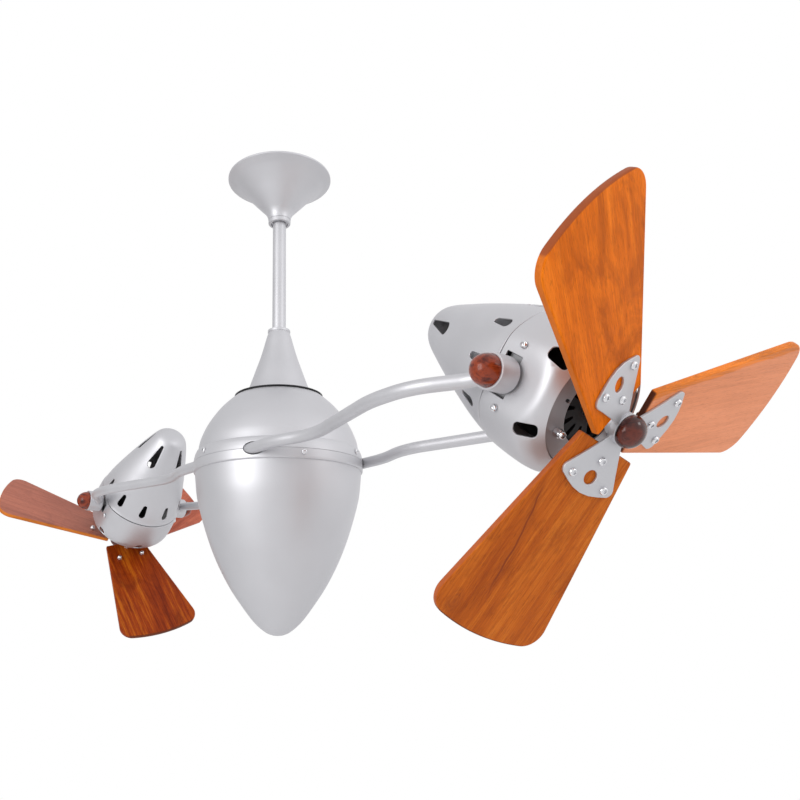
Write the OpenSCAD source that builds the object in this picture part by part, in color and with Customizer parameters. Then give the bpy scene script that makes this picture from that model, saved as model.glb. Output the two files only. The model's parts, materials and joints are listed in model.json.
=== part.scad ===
// Twin head ceiling fan: a fixed ceiling mount and down rod carry a turning
// body, whose two tube forks each hold a tilting motor head with a rotor of
// three wooden blades. Millimetres, origin at the ceiling on the rod's axis,
// +Z up, the forks along X.

/* [Overall] */
// Drop from the ceiling to the seam of the turning body
seam_drop = 430; // [400:5:460]
// Distance from the rod's axis to each head's pivot
fork_reach = 434.5; // [430:0.5:450]
// Angle of each head's spin axis below level
head_tilt = 38.1; // [0:0.1:60]
// Rest angle of the near rotor about its own axis
rotor_a_turn = 107.3; // [0:0.1:119.9]
// Rest angle of the far rotor about its own axis
rotor_b_turn = 112.7; // [0:0.1:119.9]

/* [Down rod] */
// Outside diameter of the rod
rod_d = 19.05; // [18:0.05:19.05]
// Wall of the rod
rod_wall = 2.2; // [1.6:0.1:2.6]

/* [Canopy] */
// Diameter of the canopy's rim at the ceiling
canopy_d = 151; // [151:1:156]
// Height of the canopy
canopy_h = 67; // [66:1:70]

/* [Body] */
// Largest diameter of the body, at its seam
body_d = 224.4; // [224:0.2:230]
// Wall of the two body shells
shell_wall = 1.8; // [1.4:0.1:2]

/* [Forks] */
// Outside diameter of the fork tubes
arm_d = 14; // [12:0.5:14]
// Wall of the fork tubes
arm_wall = 1.6; // [1.2:0.1:2]
// Outside diameter of the pivot cups
cup_d = 33.2; // [32:0.2:33.2]
// Distance from the middle plane to each cup's rim
cup_rim_y = 90; // [88:0.5:90]

/* [Heads] */
// Wall of the head shells
head_wall = 1.6; // [1.2:0.1:1.8]
// Radius of the motor's case
motor_r = 46; // [42:1:46]

/* [Blades] */
// Radius of the tip circle
tip_r = 215; // [190:1:216]
// Thickness of a blade
blade_t = 6.5; // [6:0.5:8]
// Width of a blade at its root
root_w = 65.5; // [60:0.5:66]
// Width of a blade at its tip corners
tip_w = 136; // [110:1:138]
// Twist of the blades out of the rotor's plane
pitch = 12.5; // [8:0.1:14]

/* [Hidden] */
$fn = 48;
rod_r = rod_d/2;
arm_r = arm_d/2;
cup_r = cup_d/2;
zs = -seam_drop;              // height of the body's seam
e = 0.01;
steel = "silver";
wood = "sienna";

// ---------- curve helpers ----------
function cr(a, b, c, d, t) = 0.5*((2*b) + (c - a)*t
  + (2*a - 5*b + 4*c - d)*t*t + (3*b - a - 3*c + d)*t*t*t);
// points along a smooth curve through p, n steps between two points
function smooth(p, n) = [for (i = [0:len(p)-2], j = [0:n-1])
    cr(p[max(i-1, 0)], p[i], p[i+1], p[min(i+2, len(p)-1)], j/n), p[len(p)-1]];
function unit(v) = v/norm(v);
function tang(p, i) = unit(p[min(i+1, len(p)-1)] - p[max(i-1, 0)]);
// the same curve moved sideways by t, to the left of its run
function beside(p, t) = [for (i = [0:len(p)-1])
    let (u = tang(p, i)) p[i] + t*[-u[1], u[0]]];
function rev(p) = [for (i = [len(p)-1:-1:0]) p[i]];
function clip_x(p) = [for (q = p) [max(q[0], 0), q[1]]];

// a round bar laid along corner points in the plane z = 0, with one bend radius
// for each corner; the bends are a hair thicker and take in the straights' ends
module laid_bar(p, rb, ro) {
  n = len(p);
  seg = [for (i = [0:n-2]) unit(p[i+1] - p[i])];
  ang = [for (i = [1:n-2]) let (a = seg[i-1], b = seg[i])
      atan2(a[0]*b[1] - a[1]*b[0], a[0]*b[0] + a[1]*b[1])];
  cut = [for (i = [1:n-2]) rb[i-1]*tan(abs(ang[i-1])/2)];
  for (i = [0:n-2]) {
    s = i == 0 ? p[0] : p[i] + seg[i]*cut[i-1];
    f = i == n-2 ? p[n-1] : p[i+1] - seg[i]*cut[i];
    g = s - (i == 0 ? 0 : 1.5)*seg[i];
    translate([g[0], g[1], 0]) rotate([0, 0, atan2(seg[i][1], seg[i][0])])
      rotate([0, 90, 0]) cylinder(r = ro, h = norm(f - g) + (i == n-2 ? 0 : 1.5));
  }
  for (i = [1:n-2]) {
    k = sign(ang[i-1]);
    s = p[i] - seg[i-1]*cut[i-1];
    c = s + rb[i-1]*k*[-seg[i-1][1], seg[i-1][0]];
    a0 = atan2(s[1] - c[1], s[0] - c[0]);
    translate([c[0], c[1], 0])
      rotate([0, 0, k > 0 ? a0 : a0 - abs(ang[i-1])])
        rotate_extrude(angle = abs(ang[i-1]), $fn = 96)
          translate([rb[i-1], 0]) circle(ro + 0.1);
  }
}
module tube(ro, ri, z0, z1) {
  translate([0, 0, z0]) difference() {
    cylinder(r = ro, h = z1 - z0);
    translate([0, 0, -1]) cylinder(r = ri, h = z1 - z0 + 2);
  }
}
// a screw with a domed socket head, its shank down -Z from the head's seat
module screw(shank_r, shank_l, head_r, head_h) {
  translate([0, 0, -shank_l]) cylinder(r = shank_r, h = shank_l + e, $fn = 24);
  difference() {
    rotate_extrude($fn = 32) polygon([[0, 0], [head_r, 0],
      [head_r*0.96, head_h*0.45], [head_r*0.8, head_h*0.8],
      [head_r*0.5, head_h*0.97], [0, head_h]]);
    translate([0, 0, head_h*0.45]) cylinder(r = head_r*0.5, h = head_h, $fn = 6);
  }
}
// slot shape: two round ends joined, along X
module slot2d(x0, r0, x1, r1) {
  translate([x0, 0]) circle(r = r0, $fn = 24);
  translate([x1, 0]) circle(r = r1, $fn = 24);
  polygon([[x0, -r0], [x1, -r1], [x1, r1], [x0, r0]]);
}
module rrect(w, h, r) {
  for (x = [-1, 1], y = [-1, 1]) translate([x*(w/2 - r), y*(h/2 - r)]) circle(r = r, $fn = 24);
  square([w, h - 2*r], center = true);
  square([w - 2*r, h], center = true);
}

// ---------- ceiling mount ----------
// ceiling plate: a strap with two slots for a 3.5 in junction box and a
// hanging yoke whose socket holds the ball
module hanger_bracket() color("lightgray") {
  difference() {
    union() {
      translate([-52, -13, -2.5]) cube([104, 26, 2.5]);
      for (s = [-1, 1]) translate([s*26.5 - 1.25, -13, -36]) cube([2.5, 26, 34]);
      translate([0, 0, -37.5]) cylinder(r = 27.7, h = 3);
    }
    for (s = [-1, 1]) translate([s*44.45, 0, -3]) cylinder(r = 2.4, h = 4);
    translate([0, 0, -3]) cylinder(r = 11, h = 4);
    translate([0, 0, -26]) sphere(r = 20.23, $fn = 64);
    // entry for the rod from one side
    translate([-10.5, -40, -38]) cube([21, 40, 6]);
    translate([-40, 13, -38]) cube([80, 30, 5]);
    translate([-40, -43, -38]) cube([80, 30, 5]);
  }
}
module hanger_ball() color("dimgray") difference() {
  intersection() {
    translate([0, 0, -26]) sphere(r = 20.2, $fn = 64);
    translate([-30, -30, -37]) cube([60, 60, 24]);
  }
  translate([0, 0, -50]) cylinder(r = rod_r + 0.03, h = 60);
  translate([0, 0, -24]) rotate([90, 0, 0]) cylinder(r = 2.55, h = 60, center = true);
}
module ball_pin() color("gray")
  translate([0, 0, -24]) rotate([90, 0, 0]) cylinder(r = 2.5, h = 30, center = true, $fn = 24);
module downrod() color(steel) difference() {
  translate([0, 0, zs + 128]) cylinder(r = rod_r, h = -14 - zs - 128, $fn = 64);
  translate([0, 0, zs + 100]) cylinder(r = rod_r - rod_wall, h = 400, $fn = 64);
  translate([0, 0, -24]) rotate([90, 0, 0]) cylinder(r = 2.55, h = 60, center = true, $fn = 24);
  translate([0, 0, zs + 140]) rotate([90, 0, 0]) cylinder(r = 3.05, h = 60, center = true, $fn = 24);
}
canopy_out = smooth([[16.2, -canopy_h], [17.4, -61], [21.2, -54], [28.8, -45.5],
  [37.3, -36], [46, -26.3], [55, -17.5], [64.5, -9.3], [canopy_d/2, -2.6]], 5);
module canopy() color(steel) rotate_extrude($fn = 96) polygon(concat(
  canopy_out, [[canopy_d/2, 0]],
  [for (q = rev(beside(canopy_out, 1.5))) [max(q[0], 13), min(q[1], -0.9)]],
  [[13, -canopy_h]]));
module canopy_collar() color(steel) difference() {
  union() {
    translate([0, 0, -canopy_h - 6.2]) rotate_extrude($fn = 64) polygon([[rod_r + 0.03, 2.2],
      [12.4, 2.2], [12.4, 0], [15.2, 0], [16, 0.9], [16.2, 6.1], [rod_r + 0.03, 6.1]]);
  }
  translate([0, 0, -canopy_h - 2.1]) rotate([90, 0, 35]) translate([0, 0, 5]) cylinder(r = 1.5, h = 20, $fn = 24);
}

// ---------- rod coupling and fixed spindle ----------
cover_out = smooth([[44, 0], [41.9, 5.5], [39.7, 11.5], [36.2, 21.5], [31.2, 36],
  [26.2, 50.5], [21.8, 65.3], [17.9, 80], [15, 89.5]], 4);
module coupling_cover() color(steel) translate([0, 0, zs + 97.5])
  rotate_extrude($fn = 72) polygon(concat(
    cover_out, [[15, 89.9], [15.7, 90.3], [15.7, 93.2], [15.1, 93.8],
      [rod_r + 0.05, 93.8], [rod_r + 0.05, 90.5]],
    [for (q = rev(beside(cover_out, 1.6))) if (q[1] < 89.2 && q[1] > 0) q], [[42.4, 0]]));
module spindle() color("gray") translate([0, 0, zs]) difference() {
  union() {
    translate([0, 0, 114]) cylinder(r = 13.2, h = 38);
    translate([0, 0, 96.5]) cylinder(r = 16, h = 18);
    translate([0, 0, -72]) cylinder(r = 12, h = 176);
  }
  translate([0, 0, -80]) cylinder(r = 6, h = 260);
  translate([0, 0, 128]) cylinder(r = rod_r + 0.03, h = 60, $fn = 64);
  translate([0, 0, 140]) rotate([90, 0, 0]) cylinder(r = 3.05, h = 60, center = true, $fn = 24);
}
module clevis_pin() color("gray") translate([0, 0, zs + 140]) rotate([90, 0, 0]) {
  translate([0, 0, -15]) cylinder(r = 3, h = 30, $fn = 24);
  translate([0, 0, 13.3]) cylinder(r = 4.2, h = 2.2, $fn = 24);
}
// insulated drum with contact rings, fixed on the spindle
module slip_ring() color("goldenrod") translate([0, 0, zs]) difference() {
  rotate_extrude($fn = 64) polygon(concat([[12.03, 74.5], [19, 74.5]],
    [for (k = [0:3]) for (q = [[19, 76.5 + k*5], [17.6, 76.5 + k*5],
      [17.6, 79.5 + k*5], [19, 79.5 + k*5]]) q],
    [[19, 96.5], [12.03, 96.5]]));
}
module spindle_nut() color("gray") translate([0, 0, zs]) {
  tube(22, 12.03, -59.5, -56);
  difference() {
    translate([0, 0, -70]) cylinder(r = 19, h = 10.5, $fn = 6);
    translate([0, 0, -71]) cylinder(r = 12.03, h = 14);
  }
}

// ---------- turning body ----------
rb = body_d/2;
up_out = smooth([[rb - 5.2, 15], [104, 30], [97.5, 46], [88.8, 60.5],
  [78.5, 74], [68, 84.5], [60.5, 91]], 4);
low_out = smooth([[rb - 2.6, -12.8], [rb - 3.5, -24], [105, -50], [93.2, -90],
  [79.5, -125], [62, -158], [44, -184], [29.5, -202], [16.5, -213],
  [7, -217.2], [0, -218]], 4);
up_in = beside(up_out, shell_wall);
low_in = clip_x(beside(low_out, -shell_wall));
module arm_holes(gap = 0.5) for (s = [-1, 1])
  translate([0, s*86, 0]) rotate([0, 90, 0]) cylinder(r = arm_r + gap, h = 300, center = true);
module upper_shell() color(steel) translate([0, 0, zs]) difference() {
  rotate_extrude($fn = 120) polygon(concat(
    [[rb, 0.15], [rb - 0.6, 5], [rb - 1.7, 10], [rb - 3.4, 14.2], [rb - 4.2, 14.9]],
    up_out, [[59.5, 92.3], [58.3, 92.3], [57.7, 91.4]],
    rev([for (q = up_in) if (q[1] < 88.8) q]),
    [[rb - 7.2, 15], [rb - 5, 10], [rb - 2.6, 4], [rb - 2.2, 0.15]]));
  arm_holes(1.3);
  for (a = [-92, 28, 148]) rotate([0, 0, a]) translate([90, 0, 7.3]) rotate([0, 90, 0])
    cylinder(r = 2, h = 40, $fn = 24);
}
module lower_shell() color(steel) translate([0, 0, zs]) difference() {
  rotate_extrude($fn = 120) polygon(concat(
    [[rb - 2.2, -0.15], [rb, -0.15], [rb - 0.1, -6], [rb - 0.4, -11.6], [rb - 1, -12.4]],
    low_out, rev(low_in)));
  arm_holes(1.3);
  for (a = [-19, 101, 221]) rotate([0, 0, a]) translate([90, 0, -5]) rotate([0, 90, 0])
    cylinder(r = 2, h = 40, $fn = 24);
}
module carrier_plate() color("gray") translate([0, 0, zs]) difference() {
  union() {
    translate([0, 0, -11]) cylinder(r = 104.5, h = 3.5, $fn = 96);
    tube(105.6, 101.5, -11, 10.5);
    translate([0, 0, -55]) cylinder(r = 24, h = 125);
    translate([0, 0, 66]) cylinder(r = 35, h = 4);
  }
  arm_holes();
  translate([0, 0, 58]) cylinder(r = 19.02, h = 40);
  translate([0, 0, -60]) cylinder(r = 19.02, h = 17);
  translate([0, 0, -60]) cylinder(r = 16, h = 160);
  for (a = [-92, 28, 148]) rotate([0, 0, a]) translate([90, 0, 7.3]) rotate([0, 90, 0])
    cylinder(r = 1.83, h = 40, $fn = 24);
  for (a = [-19, 101, 221]) rotate([0, 0, a]) translate([90, 0, -5]) rotate([0, 90, 0])
    cylinder(r = 1.83, h = 40, $fn = 24);
  for (x = [-16, 16], y = [-86, 86], k = [-9.6, 9.6]) translate([x, y + k, -20])
    cylinder(r = 1.62, h = 30, $fn = 24);
  // wire passages
  for (a = [60, 120, 240, 300]) rotate([0, 0, a]) translate([52, 0, -20]) cylinder(r = 7, h = 30);
}
module main_bearings() color("gray") translate([0, 0, zs]) {
  tube(19, 12.04, 58, 72);
  tube(19, 12.04, -55, -43);
}
module brush_holder() color("dimgray") translate([0, 0, zs]) difference() {
  union() {
    translate([20.2, -9, 74.5]) cube([13, 18, 22]);
    translate([20.2, -9, 70]) cube([13, 18, 5]);
    for (k = [0:3]) translate([17.75, -2.5, 77 + k*5]) cube([3, 5, 2]);
    // dust cover over the dome's opening
    tube(60, 20.2, 92.4, 94.4);
  }
}
// plan of a fork tube: straight through the body, in, out past the head,
// and in again to the pivot cup
x_end = fork_reach - cup_r - 0.05;
side_run = [[46, 86], [114, 86], [168, 68.5], [306, 108], [360, 108],
  [x_end - 8, 77.6], [x_end + 10, 77.6]];
arm_plan = concat([for (q = rev(side_run)) [-q[0], q[1]]], side_run);
arm_pts = [for (i = [0:len(arm_plan)-1]) if (i != len(side_run)-1 && i != len(side_run)) arm_plan[i]];
side_bends = [120, 100, 150, 85, 50];
arm_bends = concat(rev(side_bends), side_bends);
module arm_tube() difference() {
  laid_bar(arm_pts, arm_bends, arm_r);
  laid_bar(arm_pts, arm_bends, arm_r - arm_wall);
  for (s = [-1, 1]) translate([s*fork_reach, 0, 0]) rotate([-90, 0, 0])
    cylinder(r = cup_r + 0.05, h = 120, $fn = 64);
}
module arm_tube_front() color(steel) translate([0, 0, zs]) mirror([0, 1, 0]) arm_tube();
module arm_tube_rear() color(steel) translate([0, 0, zs]) arm_tube();
module arm_clamps() color("gray") translate([0, 0, zs])
  for (x = [-16, 16], y = [-86, 86]) translate([x, y, 0]) difference() {
    translate([-7, -12.5, -7.5]) cube([14, 25, 17]);
    rotate([0, 90, 0]) cylinder(r = arm_r + 0.03, h = 40, center = true);
    for (k = [-9.6, 9.6]) translate([0, k, -10]) cylinder(r = 1.75, h = 30, $fn = 24);
  }
module clamp_screws() color("gray") translate([0, 0, zs])
  for (x = [-16, 16], y = [-86, 86], k = [-9.6, 9.6]) translate([x, y + k, 9.5])
    screw(1.6, 22, 2.8, 2.4);
module body_screws() color("gainsboro") translate([0, 0, zs]) {
  for (a = [-92, 28, 148]) rotate([0, 0, a]) translate([rb - 0.4, 0, 7.3]) rotate([0, 90, 0])
    screw(1.75, 11, 3.6, 2.2);
  for (a = [-19, 101, 221]) rotate([0, 0, a]) translate([rb + 0.05, 0, -5]) rotate([0, 90, 0])
    screw(1.75, 11, 3.6, 2.2);
}
cup_in = 67.6;                // inner end of each cup
module pivot_cup() rotate([-90, 0, 0]) difference() {
  translate([0, 0, cup_in]) rotate_extrude($fn = 64) polygon([[0, 0], [cup_r - 0.6, 0],
    [cup_r, 0.6], [cup_r, cup_rim_y - cup_in - 0.5], [cup_r - 0.5, cup_rim_y - cup_in],
    [0, cup_rim_y - cup_in]]);
  translate([0, 0, cup_in + 5]) cylinder(r = cup_r - 2, h = 40, $fn = 64);
  translate([0, 0, cup_in - 1]) cylinder(r = 5.05, h = 20);
}
module at_pivots() for (x = [-1, 1], m = [0, 1])
  translate([x*fork_reach, 0, zs]) mirror([0, m, 0]) children();
module pivot_cups() color(steel) at_pivots() pivot_cup();
module pivot_caps() color(wood) at_pivots() rotate([-90, 0, 0])
  translate([0, 0, cup_rim_y - 8]) rotate_extrude($fn = 64) polygon(concat(
    [[0, 0], [cup_r - 2.05, 0], [cup_r - 2.05, 8]],
    [for (a = [0:6:84]) [(cup_r - 1.9)*cos(a), 8.4 + 16.2*sin(a)]], [[0, 24.6]]));
module run_capacitors() color("dimgray") translate([0, 0, zs])
  for (s = [-1, 1]) translate([s*48, 0, -76]) cylinder(r = 17, h = 65);

// ---------- heads ----------
// A head's own frame: Z along the spin axis, outward, X down, Y to the rear.
// b = true turns the whole head to the far fork.
module at_head(b) rotate([0, 0, b ? 180 : 0]) translate([fork_reach, 0, zs])
  rotate([0, 90 + head_tilt, 0]) children();
flat_y = 64.6;                // half distance between the shell's side flats
seam_s = -19;                 // seam of the two shells along the spin axis
tail_out = smooth([[0, -166.5], [11, -165.4], [20.5, -161], [27.5, -152], [36.5, -130],
  [46, -104], [54.6, -78], [62, -54], [67, -35], [70.1, seam_s]], 4);
nose_out = smooth([[69.4, seam_s], [71.4, -6], [72.3, 6], [72.3, 20], [70.6, 31],
  [65.6, 39.6], [59.8, 45.4], [55.4, 49.2]], 4);
tail_in = clip_x(beside(tail_out, head_wall));
nose_in = beside(nose_out, head_wall);
module slab(h, z0, z1) translate([-100, -h, z0]) cube([200, 2*h, z1 - z0]);
slot_turn = 172;              // a tail slot's angle, seen from the near side
module tail_slots() {
  for (k = [0:9]) rotate([0, 0, 90 + 36*k]) rotate([0, 90, 0]) translate([0, 0, 40])
    linear_extrude(60) slot2d(50, 3.2, 35.6, 5.2);
  for (k = [0:4]) rotate([0, 0, 90 + slot_turn + 72*k]) rotate([0, 90, 0]) translate([0, 0, 8])
    linear_extrude(60) slot2d(149.5, 2.5, 119, 7);
}
module tail_solid(pr, h) intersection() {
  rotate_extrude($fn = 96) polygon(pr);
  slab(h, -180, -5);
}
module rear_shell() difference() {
  tail_solid(concat(tail_out, [[0, seam_s]]), flat_y);
  tail_solid(concat(tail_in, [[70.1 - head_wall, seam_s + 1], [0, seam_s + 1]]), flat_y - head_wall);
  tail_slots();
}
module nose_solid(pr, h) intersection() {
  rotate_extrude($fn = 96) polygon(pr);
  slab(h, -60, 60);
}
module front_shell() difference() {
  nose_solid(concat([[0, seam_s]], nose_out, [[0, 49.2]]), flat_y);
  nose_solid(concat([[0, seam_s - 1]], [[69.4 - head_wall, seam_s - 1]], nose_in,
    [[53.8, 50], [0, 50]]), flat_y - head_wall);
  // front opening and vents
  translate([0, 0, 40]) cylinder(r = 53.8, h = 20, $fn = 96);
  for (k = [0:5]) rotate([0, 0, 120 + 60*k]) translate([64, 0, 37.5]) rotate([0, 44, 0])
    translate([0, 0, -9]) linear_extrude(24) rrect(22, 13.5, 5);
  // window under each pivot cup and screw holes
  for (s = [-1, 1]) {
    translate([-20, s*flat_y - 6, -12]) cube([40, 12, 19]);
    for (x = [-30, 30]) translate([x, s*flat_y, 2]) rotate([90, 0, 0])
      cylinder(r = 2.1, h = 30, center = true, $fn = 24);
  }
}
module motor_bracket() difference() {
  union() {
    tube(59, motor_r + 0.02, -6, -3);
    for (s = [-1, 1]) {
      translate([-34, s > 0 ? 56.5 : -59, -11]) cube([68, 2.5, 24]);
      translate([-20, s > 0 ? 52 : -57, -6]) cube([40, 5, 3]);
      rotate([s*-90, 0, 0]) translate([0, 0, 58.5]) cylinder(r = 6.8, h = 7.9);
    }
  }
  rotate([90, 0, 0]) cylinder(r = 5.02, h = 200, center = true);
  for (s = [-1, 1]) rotate([s*-90, 0, 0]) translate([0, 0, 44]) cylinder(r = 9.3, h = 12.5);
  for (x = [-30, 30]) translate([x, 0, 2]) rotate([90, 0, 0])
    cylinder(r = 1.83, h = 200, center = true, $fn = 24);
  cylinder(r = motor_r + 0.02, h = 100, center = true, $fn = 96);
}
module pivot_bolts() for (m = [0, 1]) mirror([0, m, 0]) rotate([-90, 0, 0]) {
  translate([0, 0, 50.6]) cylinder(r = 5, h = 28);
  translate([0, 0, cup_in + 5.3]) cylinder(r = 9, h = 5.7, $fn = 6);
  translate([0, 0, 51]) cylinder(r = 8.5, h = 5.5, $fn = 6);
}
module friction_washers() for (m = [0, 1]) mirror([0, m, 0]) rotate([-90, 0, 0])
  tube(8, 5.05, 66.4, cup_in - 0.02);
module motor_stator() difference() {
  union() {
    rotate_extrude($fn = 96) polygon([[0, -40], [30, -40], [motor_r - 3, -36], [motor_r, -32],
      [motor_r, 36], [motor_r - 2, 38.5], [36, 39.8], [34, 41.5], [0, 42.5]]);
    tube(52.4, 40, 36.6, 39.8);
  }
  translate([0, 0, -34]) cylinder(r = 41, h = 18, $fn = 72);
  translate([0, 0, -17]) cylinder(r = 27.5, h = 36, $fn = 72);
  translate([0, 0, 18]) cylinder(r = 41, h = 14, $fn = 72);
  translate([0, 0, -50]) cylinder(r = 7, h = 120);
  translate([0, 0, -38.5]) cylinder(r = 11.02, h = 10);
  translate([0, 0, 28]) cylinder(r = 11.02, h = 11);
  for (k = [0:11]) rotate([0, 0, 30*k + 10]) translate([23.5, 0, 30]) linear_extrude(30) slot2d(-4.5, 1.7, 4.5, 2.6);
}
module ring_plate() difference() {
  tube(53.6, 33, 45.6, 47.2);
  for (k = [0:2]) rotate([0, 0, -53.5 + 120*k]) translate([42.5, 0, 40]) cylinder(r = 2.1, h = 20, $fn = 24);
  for (k = [0:2]) rotate([0, 0, -94 + 120*k]) translate([37.5, 0, 40]) linear_extrude(20) slot2d(-1.6, 1.5, 1.6, 1.5);
}
// three hex standoffs hold the ring plate on the motor's front flange
module standoff_screws() for (k = [0:2]) rotate([0, 0, -53.5 + 120*k]) translate([42.5, 0, 0]) {
  translate([0, 0, 39.8]) cylinder(r = 3.4, h = 5.8, $fn = 24);
  translate([0, 0, 47.2]) cylinder(r = 4.4, h = 7, $fn = 6);
  translate([0, 0, 44]) cylinder(r = 2.05, h = 10, $fn = 24);
  translate([0, 0, 54.2]) screw(1.5, 2, 3.6, 3);
}
module shell_screws() for (m = [0, 1], x = [-30, 30]) mirror([0, m, 0])
  translate([x, flat_y + 0.02, 2]) rotate([-90, 0, 0]) screw(1.8, 12, 3.6, 2.6);
module motor_bearings() {
  tube(11, 5.04, -38.4, -29.6);
  tube(11, 5.04, 30, 38.5);
}

// ---------- rotors ----------
blade_z = 80;                 // blade front faces along the spin axis
function spoke(k) = 120*k;
module motor_shaft() {
  translate([0, 0, -44]) cylinder(r = 5, h = 128.2);
  translate([0, 0, -15.5]) cylinder(r = 27, h = 33, $fn = 72);
}
module on_blade(k) rotate([0, 0, spoke(k)]) translate([0, 0, blade_z]) rotate([pitch, 0, 0]) children();
hole_xy = [[32.6, 0], [52.8, 20.5], [52.8, -20.5]];
module lobe2d() difference() {
  union() {
    polygon([[4, -7.5], [16, -8.5], [30, -17], [46, -27.5], [52, -30], [57.5, -25.5],
      [62, -15], [64, 0], [62, 15], [57.5, 25.5], [52, 30], [46, 27.5], [30, 17], [16, 8.5], [4, 7.5]]);
    intersection() {
      circle(r = 65.5, $fn = 96);
      polygon([[30, -16.5], [80, -44.5], [80, 44.5], [30, 16.5]]);
      translate([26, -28.5]) square([60, 57]);
    }
    for (s = [-1, 1]) translate([51.5, s*25.2]) circle(r = 6, $fn = 32);
  }
  translate([49, 0]) circle(r = 6.6, $fn = 32);
  for (h = hole_xy) translate(h) circle(r = 2.1, $fn = 24);
}
module blade_hub() difference() {
  union() {
    translate([0, 0, 70]) cylinder(r = 10.5, h = 14.3);
    translate([0, 0, 77]) cylinder(r = 14.2, h = 7.3);
    for (k = [0:2]) on_blade(k) linear_extrude(2.4) lobe2d();
  }
  translate([0, 0, 60]) cylinder(r = 5.03, h = 30.1);
}
// straight sides from the root to the tip circle, with rounded corners
blade_x0 = 20.5;
tip_round = 20;
side_turn = atan2((tip_w - root_w)/2, sqrt(tip_r*tip_r - tip_w*tip_w/4) - blade_x0);
side_off = cos(side_turn)*root_w/2 - sin(side_turn)*blade_x0 - tip_round;
side_len = sqrt((tip_r - tip_round)*(tip_r - tip_round) - side_off*side_off);
corner_c = [side_len*cos(side_turn) - side_off*sin(side_turn),
  side_len*sin(side_turn) + side_off*cos(side_turn)];
corner_a = atan2(corner_c[1], corner_c[0]);
blade_half = concat([[blade_x0, root_w/2]],
  [for (j = [0:8]) corner_c + tip_round*[cos(90 + side_turn + j/8*(corner_a - 90 - side_turn)),
    sin(90 + side_turn + j/8*(corner_a - 90 - side_turn))]],
  [for (j = [1:7]) tip_r*[cos(corner_a*(1 - j/7)), sin(corner_a*(1 - j/7))]]);
module blade2d() {
  difference() {
    polygon(concat(blade_half, [for (q = rev(blade_half)) if (q[1] > 0.001) [q[0], -q[1]]]));
    for (p = hole_xy) translate(p) circle(r = 2.1, $fn = 24);
  }
}
module blade(k) on_blade(k) translate([0, 0, -blade_t]) linear_extrude(blade_t) blade2d();
module blade_screws() for (k = [0:2], p = hole_xy) on_blade(k) translate([p[0], p[1], 2.4])
  screw(2, blade_t + 7, 3.9, 2.6);
module blade_nuts() for (k = [0:2], p = hole_xy) on_blade(k) translate([p[0], p[1], -blade_t])
  difference() {
    union() {
      translate([0, 0, -3]) cylinder(r = 4.2, h = 3, $fn = 6);
      translate([0, 0, -3]) rotate([180, 0, 0]) rotate_extrude($fn = 32)
        polygon([[0, 0], [3.5, 0], [3.3, 1.4], [2.6, 2.7], [1.4, 3.5], [0, 3.8]]);
    }
    translate([0, 0, -5]) cylinder(r = 2.05, h = 8, $fn = 24);
  }
module hub_cap() rotate_extrude($fn = 64) polygon(concat([[0, 84.4], [13.2, 84.4], [14.4, 85.5]],
  [for (a = [0:6:84]) [14.6*cos(a), 87.2 + 12.6*sin(a)]], [[0, 99.8]]));

module a_rear_shell() color(steel) at_head(false) rear_shell();
module a_front_shell() color(steel) at_head(false) front_shell();
module a_motor_bracket() color("lightgray") at_head(false) motor_bracket();
module a_pivot_bolts() color("gray") at_head(false) pivot_bolts();
module a_friction_washers() color("khaki") at_head(false) friction_washers();
module a_motor_stator() color("black") at_head(false) motor_stator();
module a_ring_plate() color(steel) at_head(false) ring_plate();
module a_standoff_screws() color("gainsboro") at_head(false) standoff_screws();
module a_shell_screws() color("gainsboro") at_head(false) shell_screws();
module a_motor_bearings() color("gray") at_head(false) motor_bearings();
module spin_a() at_head(false) rotate([0, 0, rotor_a_turn]) children();
module a_motor_shaft() color("gray") spin_a() motor_shaft();
module a_blade_hub() color(steel) spin_a() blade_hub();
module a_blade_1() color(wood) spin_a() blade(0);
module a_blade_2() color(wood) spin_a() blade(1);
module a_blade_3() color(wood) spin_a() blade(2);
module a_blade_screws() color("gainsboro") spin_a() blade_screws();
module a_blade_nuts() color("gainsboro") spin_a() blade_nuts();
module a_hub_cap() color("maroon") spin_a() hub_cap();

module b_rear_shell() color(steel) at_head(true) rear_shell();
module b_front_shell() color(steel) at_head(true) front_shell();
module b_motor_bracket() color("lightgray") at_head(true) motor_bracket();
module b_pivot_bolts() color("gray") at_head(true) pivot_bolts();
module b_friction_washers() color("khaki") at_head(true) friction_washers();
module b_motor_stator() color("black") at_head(true) motor_stator();
module b_ring_plate() color(steel) at_head(true) ring_plate();
module b_standoff_screws() color("gainsboro") at_head(true) standoff_screws();
module b_shell_screws() color("gainsboro") at_head(true) shell_screws();
module b_motor_bearings() color("gray") at_head(true) motor_bearings();
module spin_b() at_head(true) rotate([0, 0, rotor_b_turn]) children();
module b_motor_shaft() color("gray") spin_b() motor_shaft();
module b_blade_hub() color(steel) spin_b() blade_hub();
module b_blade_1() color(wood) spin_b() blade(0);
module b_blade_2() color(wood) spin_b() blade(1);
module b_blade_3() color(wood) spin_b() blade(2);
module b_blade_screws() color("gainsboro") spin_b() blade_screws();
module b_blade_nuts() color("gainsboro") spin_b() blade_nuts();
module b_hub_cap() color("maroon") spin_b() hub_cap();

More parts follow.
